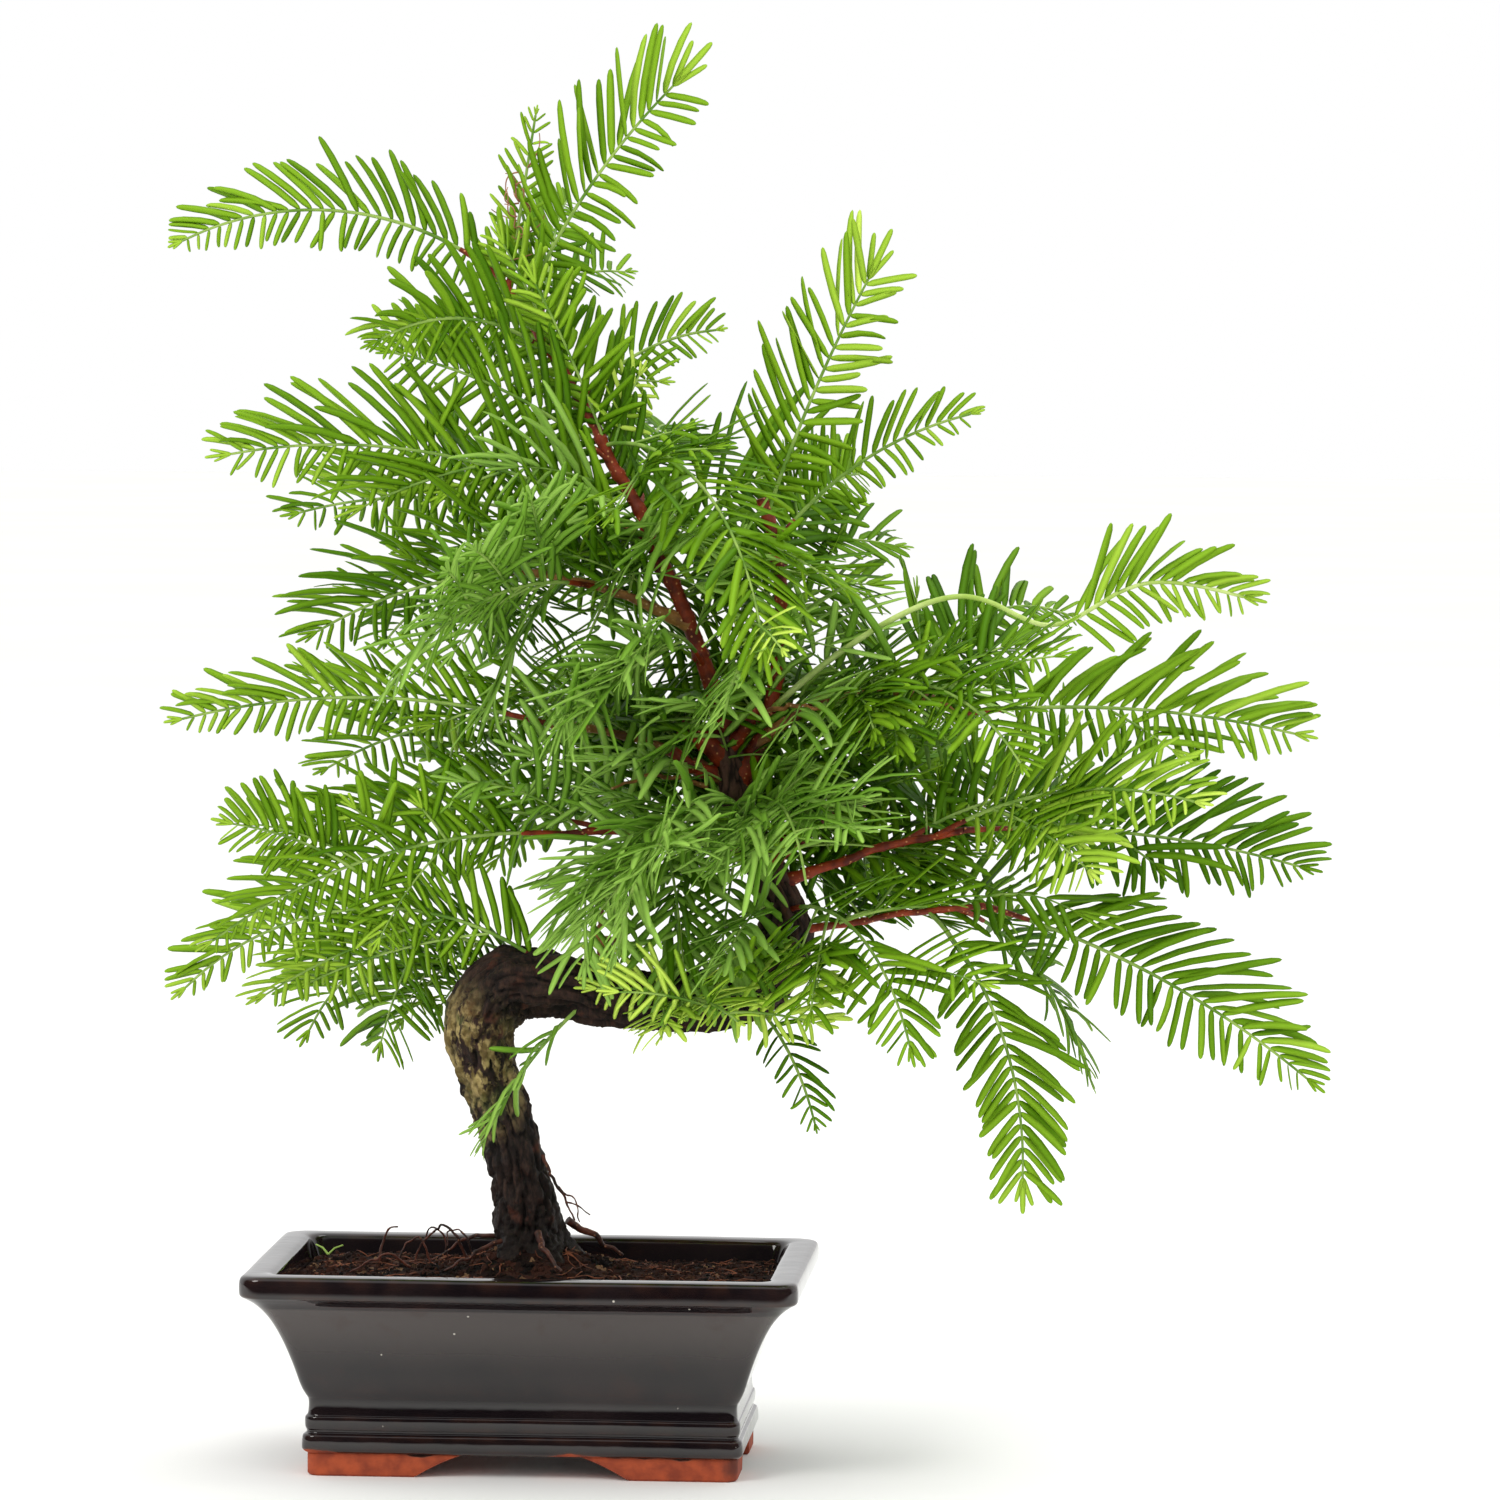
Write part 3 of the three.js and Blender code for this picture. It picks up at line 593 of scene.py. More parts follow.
def run_tree(name, source, tree, **inputs):
    """The tree's result on a source object as a new plain mesh object; the source is removed."""
    identifiers = {item.name: item.identifier for item in tree.interface.items_tree if item.in_out == "INPUT"}
    modifier = source.modifiers.new("nodes", "NODES")
    modifier.node_group = tree
    for label, value in inputs.items():
        modifier[identifiers[label.replace("_", " ")]] = value
    bpy.context.view_layer.update()
    mesh = bpy.data.meshes.new_from_object(source.evaluated_get(bpy.context.evaluated_depsgraph_get()))
    for layer in [layer for layer in mesh.attributes if not layer.is_required and layer.name in LEFTOVERS]:
        mesh.attributes.remove(layer)
    bpy.data.objects.remove(source)
    return linked(name, mesh)


print("a tree can take", ", ".join(SOCKETS))


# %% [markdown]
# ## A tube along every path
# Boughs, twigs, roots and fibres are all tubes that taper. A path is a row of places with a thickness at
# each. All paths of one kind go into one mesh of bare edges, and the tree turns its edges into curves, runs
# a round section along them, and pushes the skin in and out with noise, so that the bark isn't a pipe.

# %% Tube tree
def tube_tree():
    graph, given = new_tree("tubes_along_paths", Sides="count", Relief="number", Grain="vector",
                            Material="material")
    curves = graph.add("GeometryNodeMeshToCurve", {"Mesh": given["Source"]}).outputs[0]
    section = graph.add("GeometryNodeCurvePrimitiveCircle", {"Resolution": given["Sides"], "Radius": 1.0})
    tube = graph.add("GeometryNodeCurveToMesh", {
        "Curve": curves, "Profile Curve": section.outputs[0], "Scale": attribute(graph, "girth"),
        "Fill Caps": True}).outputs[0]
    where = graph.add("GeometryNodeInputPosition").outputs[0]
    scaled = graph.vector("MULTIPLY", {0: where, 1: given["Grain"]})[0]
    height = graph.times(graph.sum("SUBTRACT", graph.noise(scaled, 1.0, 4.0), 0.5), given["Relief"])
    outwards = graph.add("GeometryNodeInputNormal").outputs[0]
    offset = graph.vector("SCALE", {0: outwards, "Scale": height})[0]
    skinned = graph.add("GeometryNodeSetPosition", {"Geometry": tube, "Offset": offset}).outputs[0]
    return end_tree(graph, skinned, given["Material"])


TUBES = tube_tree()


def tubes(name, paths, sides, material, relief=0.0, grain=(1.0, 1.0, 1.0)):
    """One piece from many (places, radii) in millimetres; relief in mm, grain in waves per mm."""
    places = np.vstack([line for line, _ in paths])
    girth = np.concatenate([np.broadcast_to(radii, len(line)) for line, radii in paths])
    starts = np.cumsum([0] + [len(line) for line, _ in paths])
    edges = [(i, i + 1) for first, end in zip(starts[:-1], starts[1:]) for i in range(first, end - 1)]
    mesh = plain_mesh(name, to_frame(places).tolist(), edges)
    keep_each(mesh, girth=girth * MM)
    waves = tuple(float(wave) / MM for wave in grain)
    return run_tree(name, linked("paths", mesh), TUBES, Sides=sides, Relief=relief * MM, Grain=waves,
                    Material=material)


print("tube tree:", len(TUBES.nodes), "nodes")


# %% [markdown]
# ## The soil
# Bonsai soil is a coarse, dark mix. Its top is never level: it rises to the foot of the trunk and dips to the
# rim, and it is strewn with crumbs, shed needles gone red, and hair roots.
#
# The body of the soil is one closed skin that follows the inside of the pot, a little clear of it. Its top is
# a run of rings that close in on the trunk, pushed up and down by noise at two sizes. One function gives
# the height at any place, and everything that lies on the soil asks it.

# %% Height of the soil
SOIL = {"edge": 59.6, "pad": 62.6, "edge_inset": 12.2, "left_rise": 2.8, "mound": 8.5, "mound_reach": 21.0}
FOOT_MIDDLE = np.array([0.0, 4.0])
SOIL_HALF = np.array([POT["half_width"], POT["half_depth"]]) - SOIL["edge_inset"]


def soil_height(x, y):
    """Height of the soil in mm at places x and y, with its lumps and hollows."""
    x, y = np.broadcast_arrays(np.asarray(x, float), np.asarray(y, float))
    out = np.maximum(np.abs(x) / SOIL_HALF[0], np.abs(y) / SOIL_HALF[1])
    share = np.clip(1.0 - out, 0, 1)
    swell = share ** 2 * (3 - 2 * share)
    level = SOIL["edge"] + (SOIL["pad"] - SOIL["edge"]) * swell
    level = level + SOIL["left_rise"] * np.clip(-x / SOIL_HALF[0], 0, 1) * (1 - out ** 6)
    away = np.hypot(x - FOOT_MIDDLE[0], y - FOOT_MIDDLE[1])
    level = level + SOIL["mound"] * np.exp(-(away / SOIL["mound_reach"]) ** 2)
    spots = np.column_stack([x.ravel(), y.ravel(), np.zeros(x.size)])
    lumps = roughness(spots, 15.0, 2, 31.0) + 0.9 * roughness(spots, 5.0, 3, 57.0)
    return level + lumps.reshape(x.shape)


print(f"the soil stands {float(soil_height(FOOT_MIDDLE[0], FOOT_MIDDLE[1])):.1f} mm high at the trunk")


# %% Soil finish
def soil_material():
    material, graph, shader = new_material("dark_soil", Roughness=0.95, Specular_IOR_Level=0.25)
    place = graph.place()
    soil = graph.blend(graph.patches(place, 60, 0.35, 0.7, 4), colour("140a07"), colour("33190f"))
    crumb = graph.cells(place, 330.0)
    kind = graph.add("ShaderNodeSeparateColor", {0: crumb["Color"]}).outputs
    for index, code, low, high, most in ((0, "47261a", 0.45, 0.95, 0.7), (1, "0f0806", 0.86, 0.96, 1.0),
                                         (2, "8a6a4d", 0.95, 0.99, 0.8)):
        soil = graph.tint(soil, code, graph.between(kind[index], low, high, 0.0, most))
    relief = graph.sum("ADD", graph.noise(place, 1100, 4, 0.7), graph.times(crumb["Distance"], 0.8))
    wire(graph, shader, base=soil, height=relief, bump=(0.8, 0.0012))
    return material


DARK_SOIL = soil_material()
print("soil finish:", len(DARK_SOIL.node_tree.nodes), "nodes")


# %% Body of the soil
SOIL_PITCH = 1.7  # mm between two places of a ring
SOIL_RINGS, LAST_RING = 64, 0.985  # the last ring is this far in, where 1 is one point under the trunk


def make_soil():
    under = [(15.4, 26.8), (30, 24.3), (45, 18.8), (56.0, 13.1)]  # height and inset
    rings = [rounded_rectangle(height, inset, SOIL_PITCH) for height, inset in under]
    edge = rounded_rectangle(0.0, SOIL["edge_inset"], SOIL_PITCH)
    for share in np.linspace(0, 1, SOIL_RINGS):
        ring = edge.copy()
        ring[:, :2] += (FOOT_MIDDLE - ring[:, :2]) * share * LAST_RING
        ring[:, 2] = soil_height(ring[:, 0], ring[:, 1])
        rings.append(ring)
    rings = np.array(rings)
    finish_piece(mesh_object("soil", rings.reshape(-1, 3), skin(rings), DARK_SOIL), "soil", "soil")


make_soil()


# %% [markdown]
# ## Crumbs on the soil
# Loose crumbs are what make soil look like soil at the pot's edge, where light rakes over it. They are one
# small lump many times over, which is work for a node tree: scatter places over the top, turn and scale a
# lump at each, and make them real. It runs twice, for fine crumbs and for a few coarse ones.

# %% Crumb tree
def lump(name, seed):
    """A rough pebble of twenty faces, one metre across, that only serves as a pattern."""
    mesh = bpy.data.meshes.new(name)
    shape = bmesh.new()
    bmesh.ops.create_icosphere(shape, subdivisions=1, radius=0.5)
    chance = Chance(seed)
    for vertex in shape.verts:
        vertex.co *= chance.between(0.7, 1.15)
        vertex.co.z *= 0.8
    shape.to_mesh(mesh)
    shape.free()
    return linked(name, mesh)


def crumb_tree():
    graph, given = new_tree("crumbs_on_soil", Lump="object", Density="number", Smallest="number",
                            Largest="number", Seed="count", Material="material")
    spread = graph.add("GeometryNodeDistributePointsOnFaces", {
        "Mesh": given["Source"], "Density": given["Density"], "Seed": given["Seed"]}).outputs
    pattern = graph.add("GeometryNodeObjectInfo", {"Object": given["Lump"]}).outputs["Geometry"]
    turn = graph.add("FunctionNodeRandomValue", {0: (0.0,) * 3, 1: (6.28,) * 3},
                     data_type="FLOAT_VECTOR").outputs[0]
    draw = graph.add("FunctionNodeRandomValue", {"Seed": 5}, data_type="FLOAT").outputs[1]
    small_ones_first = graph.sum("POWER", draw, 2.5)
    range_of_sizes = graph.sum("SUBTRACT", given["Largest"], given["Smallest"])
    size = graph.sum("ADD", given["Smallest"], graph.times(small_ones_first, range_of_sizes))
    placed = graph.add("GeometryNodeInstanceOnPoints", {
        "Points": spread["Points"], "Instance": pattern, "Rotation": turn, "Scale": size}).outputs[0]
    return end_tree(graph, placed, given["Material"])


def soil_top():
    """A coarse sheet just over the soil's top, clear of the pot's wall, for scattering on."""
    half = SOIL_HALF - 1.5
    x, y = np.meshgrid(np.linspace(-half[0], half[0], 70), np.linspace(-half[1], half[1], 45), indexing="ij")
    places = np.column_stack([x.ravel(), y.ravel(), (soil_height(x, y) + 0.2).ravel()])
    index = np.arange(x.size).reshape(x.shape)
    faces = np.stack([index[:-1, :-1], index[1:, :-1], index[1:, 1:], index[:-1, 1:]], axis=-1).reshape(-1, 4)
    return mesh_object("sheet", places, faces.tolist())


CRUMBS = crumb_tree()
CRUMB_KINDS = [("soil_crumbs", 260000.0, 0.7, 2.4, 4), ("soil_lumps", 12000.0, 2.2, 4.6, 8)]
for label, density, smallest, largest, seed in CRUMB_KINDS:  # density a square metre, sizes in mm
    pattern = lump(f"pattern_{label}", seed)
    crumbs = run_tree(label, soil_top(), CRUMBS, Lump=pattern, Density=density, Smallest=smallest * MM,
                      Largest=largest * MM, Seed=seed, Material=DARK_SOIL)
    bpy.data.objects.remove(pattern)
    finish_piece(crumbs, "soil")


# %% [markdown]
# ## Shed needles and hair roots
# Among the crumbs lie dry needles and hair roots, thin and rust brown. Each is a short line that wanders over
# the soil at random, at the height the soil has there.

# %% Fibres on the soil
FIBRES, FIBRE_STEP = 170, 2.2  # how many, and the mm between two bends of one


def two_tone_material(name, dark, light, scales, strength, **plain):
    """Patches of two tones with a fine grain; scales are those of the patches and of the grain."""
    material, graph, shader = new_material(name, **plain)
    place = graph.place()
    base = graph.blend(graph.patches(place, scales[0], 0.35, 0.65), colour(dark), colour(light))
    wire(graph, shader, base=base, height=graph.noise(place, scales[1]), bump=(strength, 0.0003))
    return material


def lying_line(chance, start, heading, length, lift=0.35):
    """A line that wanders over the soil, a little above it, and arches off it in the middle."""
    steps = max(4, int(length / FIBRE_STEP))
    places, way, place = [], heading, np.array(start, float)
    for _ in range(steps):
        places.append(place.copy())
        way += math.radians(chance.between(-38, 38))
        place = place + FIBRE_STEP * np.array([math.cos(way), math.sin(way)])
    half = SOIL_HALF - 2.0
    places = np.clip(np.array(places), -half, half)
    arch = 1.1 * chance.draw() * np.sin(np.linspace(0, math.pi, steps))
    return np.column_stack([places, soil_height(places[:, 0], places[:, 1]) + lift + arch])


def make_fibres():
    chance = Chance(77)
    paths = []
    for _ in range(FIBRES):
        start = (chance.between(-74, 74), chance.between(-45, 45))
        line = lying_line(chance, start, chance.between(0, 6.28), chance.between(8, 26))
        thick = chance.between(0.14, 0.3)
        paths.append((line, thick * np.linspace(1.0, 0.55, len(line))))
    finish = two_tone_material("dry_fibres", "31150c", "8a4d2f", (130, 900), 0.3, Roughness=0.7)
    finish_piece(tubes("soil_fibres", paths, 4, finish), "soil")


make_fibres()


# %% [markdown]
# ## Lines that grow
# Everything in the crown follows one rule. A shoot leaves a place on its parent at a heading and a rise, and
# its rise falls evenly on the way to its tip, so that it arches. Three more helpers go with it: one finds the
# place at a share of a line's length, one smooths a line of few places into a fine one, and one gives every
# place its own three directions: ahead, to the left, and up out of the frond's blade.

# %% Growing and following a line
STEP = 8.0  # mm that the tree grows at a time


def direction(heading, rise):
    turn, climb = math.radians(heading), math.radians(rise)
    level = math.cos(climb)
    return np.array([math.cos(turn) * level, math.sin(turn) * level, math.sin(climb)])


def grow(foot, heading, rise, length, arch):
    steps = max(2, int(length / STEP + 0.5))
    strides = [direction(heading, rise + arch * (0.5 - (i + 0.5) / steps)) for i in range(steps)]
    ahead = np.cumsum(strides, axis=0) * (length / steps)
    return np.vstack([foot, foot + ahead])


def arc_length(line):
    return np.concatenate([[0.0], np.cumsum(np.linalg.norm(np.diff(line, axis=0), axis=1))])


def place_on(line, share):
    """Where a share of the line's length falls."""
    lengths = arc_length(line)
    return np.array([np.interp(share * lengths[-1], lengths, axis) for axis in line.T])


def smooth_line(rows, count):
    """A curve through every row, sampled count + 1 times at even steps from row to row."""
    rows = np.asarray(rows, float)
    before, after = 2 * rows[0] - rows[1], 2 * rows[-1] - rows[-2]
    known = np.vstack([before, rows, after])
    t = np.linspace(0, len(rows) - 1, count + 1)
    i = np.minimum(t.astype(int), len(rows) - 2)
    u = (t - i)[:, None]
    a, b, c, d = known[i], known[i + 1], known[i + 2], known[i + 3]
    return (b + 0.5 * u * (c - a) + u ** 2 * (a - 2.5 * b + 2 * c - 0.5 * d)
            + u ** 3 * (1.5 * (b - c) + 0.5 * (d - a)))


def even_line(line, pitch):
    """A smooth line through the places, with a place about every pitch."""
    fine = smooth_line(line, (len(line) - 1) * 6)
    lengths = arc_length(fine)
    wanted = np.linspace(0, lengths[-1], max(2, int(lengths[-1] / pitch + 0.5)) + 1)
    return np.column_stack([np.interp(wanted, lengths, axis) for axis in fine.T])


def directions_along(line, level, turn=0.0):
    """Ahead, left and up at every place; left is level across the heading, turned up about the line."""
    ahead = unit(np.vstack([line[1:], line[-1:]]) - np.vstack([line[:1], line[:-1]]))
    flat = unit(level - (ahead @ level)[:, None] * ahead)
    raised = np.cross(ahead, flat)
    roll = math.radians(turn)
    left = flat * math.cos(roll) + raised * math.sin(roll)
    return ahead, left, np.cross(ahead, left)


example = grow(np.zeros(3), 0.0, 30.0, 100.0, 60.0)
print(f"a shoot 100 mm long that starts at 30 degrees and arches by 60 ends {example[-1, 2]:.0f} mm up")


# %% [markdown]
# ## The trunk
# A bonsai trunk is bent with wire while it is thin, and thickens in that shape. This one leans left out of
# the soil, turns at a fat knuckle, runs level, bends up again and leans back to the fork. Its bark has long
# fissures, lumps where roots and side shoots were cut, and a flare of five roots at the foot.
#
# The middle line and the thickness are the same rows as the solid's. Round them goes a fine skin, and the
# relief is real: lumps, fissures and grain push each place of the skin in or out. What lies deep in a fissure
# is remembered in a number at each place, so that the finish can paint shade there, and so is how high the
# bark stands, for a painted highlight on the raised parts.

# %% Trunk line and relief
TRUNK = [
    # place of the middle line and radius, in mm
    (0, 4, 62, 15.5), (-2, 4, 73, 12), (-4, 3, 89, 10.4), (-10, 2, 112, 9.8), (-16, 0, 131, 10.8),
    (-17, -1, 145, 12.3), (-9, -2, 156, 12.4), (5, -3, 157, 11), (23, -3, 154, 10.2), (43, -3, 152, 10),
    (61, -2, 152, 10), (75, -1, 159, 10), (82, 0, 174, 9.2), (77, 1, 191, 7.4), (69, 2, 208, 5.8),
    (64, 2, 224, 5.3), (62, 2, 240, 4.4),
]
# Swell is a share of the thickness, twist an angle for each row, and the rest in mm.
FLARE = {"lobes": 5, "swell": 0.2, "reach": 26.0}
KNOTS = {"lobes": 3, "swell": 0.06, "twist": 0.4}
BARK = {"ring_pitch": 0.8, "sides": 100, "lump": 1.2, "fissure": 1.15, "grain": 0.5, "sunk": 0.9}
# Old cuts and burls on the trunk: place along it, angle round it, width and height.
BURLS = [(0.17, 40, 7, 1.6), (0.24, 335, 6, 2.6), (0.30, 200, 9, 2.0), (0.36, 20, 6, 2.2),
         (0.43, 120, 5, 1.8), (0.52, 300, 6, 1.5), (0.60, 80, 6, 1.6), (0.66, 210, 5, 1.8),
         (0.93, 160, 4.5, 2.2), (0.975, 30, 4, 1.8)]

trunk_rows = smooth_line(TRUNK, (len(TRUNK) - 1) * 2)
trunk_line, trunk_girth = trunk_rows[:, :3], trunk_rows[:, 3]
print(f"the trunk is {arc_length(trunk_line)[-1]:.0f} mm along its bends")


def bark_relief(spots):
    """Height of the bark in mm, and how deep in a fissure each spot lies, from 0 to 1."""
    lumps = roughness(spots, np.array([13.0, 13.0, 20.0]), 2, 5.0)
    crack = roughness(spots, np.array([4.2, 4.2, 15.0]), 3, 21.0)
    side_crack = roughness(spots, np.array([6.0, 6.0, 5.0]), 2, 43.0)
    grain = roughness(spots, np.array([1.3, 1.3, 3.6]), 3, 9.0)
    deep = np.clip(np.exp(-(crack / 0.11) ** 2) + 0.5 * np.exp(-(side_crack / 0.06) ** 2), 0, 1)
    plates = np.clip(np.abs(crack) * 2.2, 0, 1)
    flakes = np.clip(roughness(spots, np.array([2.4, 2.4, 5.0]), 3, 71.0), 0, 1) ** 1.5
    height = BARK["lump"] * lumps + BARK["fissure"] * (0.6 * plates - deep)
    return height + BARK["grain"] * (grain + 2.2 * flakes) - BARK["sunk"], deep


def trunk_grid():
    """Middle line, length along it, girth round it and the turns at which the skin's places stand."""
    count = int(arc_length(trunk_line)[-1] / BARK["ring_pitch"])
    rows = smooth_line(TRUNK, count)
    line = rows[:, :3]
    turn = np.linspace(0, 2 * math.pi, BARK["sides"], endpoint=False)
    step = np.linspace(0, 2 * (len(TRUNK) - 1), count + 1)[:, None]
    flare = np.clip(1 - (line[:, 2:] - line[0, 2]) / FLARE["reach"], 0, None)
    swell = (1 + FLARE["swell"] * flare * np.cos(FLARE["lobes"] * turn)
             + KNOTS["swell"] * np.sin(KNOTS["lobes"] * turn + KNOTS["twist"] * step))
    return line, arc_length(line), rows[:, 3:] * swell, turn


def burl_relief(spots, along, girth):
    """How much the old cuts and burls raise the bark."""
    relief = np.zeros(girth.shape)
    for place, angle, width, height in BURLS:
        middle = int(round(np.interp(place * along[-1], along, np.arange(len(along)))))
        angle = math.radians(angle)
        burl = [girth[middle, 0] * math.cos(angle), girth[middle, 0] * math.sin(angle), along[middle]]
        away = np.linalg.norm(spots - burl, axis=-1)
        relief += height * np.exp(-(away / width) ** 2 * 2)
    return relief


def make_trunk(material):
    line, along, girth, turn = trunk_grid()
    _, left, up = directions_along(line, np.array([0.0, 1.0, 0.0]))
    spots = np.stack([girth * np.cos(turn), girth * np.sin(turn),
                      np.broadcast_to(along[:, None], girth.shape)], axis=-1)
    relief, deep = bark_relief(spots.reshape(-1, 3))
    relief = relief.reshape(girth.shape) + burl_relief(spots, along, girth)
    girth = girth + relief * np.clip(girth / 9.0, 0.4, 1.0)  # less relief where the trunk is slender
    places = (line[:, None] + left[:, None] * (girth * np.cos(turn))[..., None]
              + up[:, None] * (girth * np.sin(turn))[..., None])
    places[0, :, 2] = line[0, 2]
    trunk = mesh_object("trunk_bark", places.reshape(-1, 3), skin(places), material)
    # deep carries painted shade for the fissures, and the raised bark's number a painted highlight.
    keep_each(trunk.data, deep=deep, burr=np.clip(relief / 2.5, 0, 1))
    return trunk


# %% [markdown]
# Old bark is dark brown, almost black towards the foot, and greyer and lighter above the second bend, where
# it is younger. Fine lighter streaks stand for its fibrous flakes and also for painted highlights on their
# ridges.
# On the outside of the knuckle it carries lichen, tan and olive. The finish reads the fissure number for its
# darkest tone, a painted shade in the fissures, the bark's height for a painted highlight on the raised
# parts, and noise for the rest; the lichen is a patch of noise round one place, so it stays where it grows.

# %% Bark finish and trunk
LICHEN_PLACE, LICHEN_REACH = (-29.0, -7.0, 128.0), 35.0  # mm


def bark_material():
    material, graph, shader = new_material("old_bark", Roughness=0.85)
    place = graph.place()
    height = graph.axis(place, "Z")
    bark = graph.blend(graph.patches(place, 95, 0.35, 0.7, 5), colour("150b08"), colour("36211a"))
    # Fine lighter streaks: the bark's fibrous flakes, and also a painted highlight on their ridges.
    fine = graph.patches(graph.stretched(place, 0.35), 750, 0.4, 0.75, 5, 0.65)
    # Younger bark is lighter above the second bend, and the bark is darker, almost black, towards the foot.
    young, dark_foot = graph.between(height, 0.165, 0.215), graph.between(height, 0.098, 0.066)
    red = graph.patches(place, 140, 0.58, 0.72, 4)
    for code, share, strength in (("5c3d2d", fine, 0.5), ("7a5747", young, 0.6), ("0c0706", dark_foot, 0.65),
                                  ("6b3118", red, 0.5)):
        bark = graph.tint(bark, code, share, strength)
    # Lichen: tan crust with olive between, on the knuckle's outside.
    away = graph.vector("DISTANCE", {0: place, 1: tuple(to_frame(LICHEN_PLACE))})["Value"]
    near = graph.between(away, LICHEN_REACH * MM, 0.4 * LICHEN_REACH * MM)
    crust = graph.patches(graph.stretched(place, 0.45), 170, 0.46, 0.52, 7, 0.65)
    tan = graph.blend(graph.patches(place, 330, 0.4, 0.65, 4), colour("75612f"), colour("c4ad70"))
    bark = graph.blend(graph.times(graph.times(crust, near), 0.9), bark, tan)
    moss = graph.times(graph.patches(place, 120, 0.52, 0.62, 4), near)
    # Moss, then a painted highlight on the raised bark and painted shade in the fissures.
    for code, share, strength in (("55602a", moss, 0.55), ("5c4330", graph.stored("burr"), 0.25),
                                  ("090604", graph.stored("deep"), 0.8)):
        bark = graph.tint(bark, code, share, strength)
    damp = graph.between(height, 0.075, 0.15, 0.55, 0.9)
    relief = graph.noise(graph.stretched(place, 0.5), 900, 5, 0.7)
    wire(graph, shader, bark, damp, relief, bump=(0.9, 0.0012))
    return material


finish_piece(make_trunk(bark_material()), "trunk_bark", "trunk")


# %% [markdown]
# ## Leaders and boughs
# Two leaders rise from the fork, and eight thin boughs leave the trunk and the leaders. Young bark is smooth,
# red-brown and dotted with pale breathing pores. Each limb swells where it joins its parent and has a slight
# wander, which no ruler-straight tube would have. The rows are the same as the solids'; two boughs are drawn
# a little slimmer than their row says.

# %% Limb rows
LIMBS = [
    # name, parent, place, heading, rise, length, arch, root radius, tip radius
    ("leader_left", "trunk", 1, 180, 63, 166, 18, 2.9, 1.3),
    ("leader_middle", "trunk", 0.93, 8, 85, 98, -50, 2.6, 2),
    ("bough_right_upper", "leader_middle", 0.14, 354, 11, 76, 78, 1.7, 1.2),
    ("bough_right_middle", "trunk", 0.805, 352, 17, 66, 10, 2.3, 1.4),
    ("bough_right_lower", "trunk", 0.745, 354, 9, 66, 6, 1.5, 1.2),
    ("bough_left_upper", "leader_left", 0.22, 186, 18, 56, 20, 1.6, 1.2),
    ("bough_left_middle", "trunk", 0.935, 190, 18, 64, 30, 1.7, 1.2),
    ("bough_left_lower", "trunk", 0.845, 187, 6, 64, 30, 1.7, 1.2),
    ("bough_back_left", "trunk", 0.89, 118, 16, 62, 16, 1.9, 1.2),
    ("bough_back_right", "trunk", 0.845, 52, 14, 62, 16, 1.9, 1.2),
]
limb_lines = {"trunk": trunk_line}
limb_girths = {"trunk": trunk_girth}
for name, parent, place, heading, rise, length, arch, root, tip in LIMBS:
    limb_lines[name] = grow(place_on(limb_lines[parent], place), heading, rise, length, arch)
    limb_girths[name] = np.linspace(root, tip, len(limb_lines[name]))
print(f"{len(LIMBS)} limbs grow from the trunk and from one another")


# %% Young bark finish
def young_bark_material(name, dark, light, pore):
    material, graph, shader = new_material(name, Roughness=0.55)
    place = graph.place()
    bark = graph.blend(graph.patches(place, 160, 0.35, 0.68, 4), colour(dark), colour(light))
    bark = graph.tint(bark, dark, graph.patches(place, 700, 0.45, 0.7, 4, 0.6), 0.35)
    bark = graph.tint(bark, pore, graph.between(graph.cells(place, 520.0)["Distance"], 0.24, 0.12))
    wire(graph, shader, base=bark, height=graph.noise(place, 800, 5, 0.65), bump=(0.5, 0.0005))
    return material


RED_BARK = young_bark_material("red_young_bark", "601504", "a63a10", "d08c58")
TAN_BARK = young_bark_material("tan_young_bark", "6b3f1c", "b07a3e", "d8b07a")
print("young bark in red and in tan")


# %% Limbs
LIMB_BARKS = {"bough_right_upper": TAN_BARK, "bough_left_upper": TAN_BARK, "bough_left_middle": TAN_BARK}
COLLAR = {"swell": 0.55, "full": 5.0, "reach": 4.0}  # the swelling where a limb leaves its parent
NODES = {"swell": 0.22, "pitch": 13.0}  # the low rings that scars of old shoots leave on a limb
SLIM = {"bough_right_middle": 0.74, "bough_right_lower": 0.8}  # drawn thinner than their solids


def wander(line, amount, wave, seed):
    """A line that strays a little, and not at its two ends."""
    share = np.linspace(0, 1, len(line))[:, None]
    stray = np.column_stack([roughness(line, wave, 2, seed + 11 * axis) for axis in range(3)])
    return line + amount * stray * np.sin(math.pi * share)


def limb_tube(name, parent, root, tip, seed):
    """A limb's line and thickness, swollen where it leaves its parent."""
    line = wander(even_line(limb_lines[name], pitch=1.0), amount=1.1, wave=16.0, seed=seed)
    along = arc_length(line)
    girth = np.interp(along, [0, along[-1]], [root, tip]) * SLIM.get(name, 1.0)
    if parent == "trunk":
        buried = np.min(np.linalg.norm(line[:, None] - trunk_line, axis=2))
    else:
        buried = limb_girths[parent][[0, -1]].mean()
    collar = COLLAR["swell"] * np.exp(-np.clip(along - buried - COLLAR["full"], 0, None) / COLLAR["reach"])
    rings = NODES["swell"] * np.maximum(0, np.cos(along * 2 * math.pi / NODES["pitch"])) ** 6
    return line, girth * (1 + collar + rings)


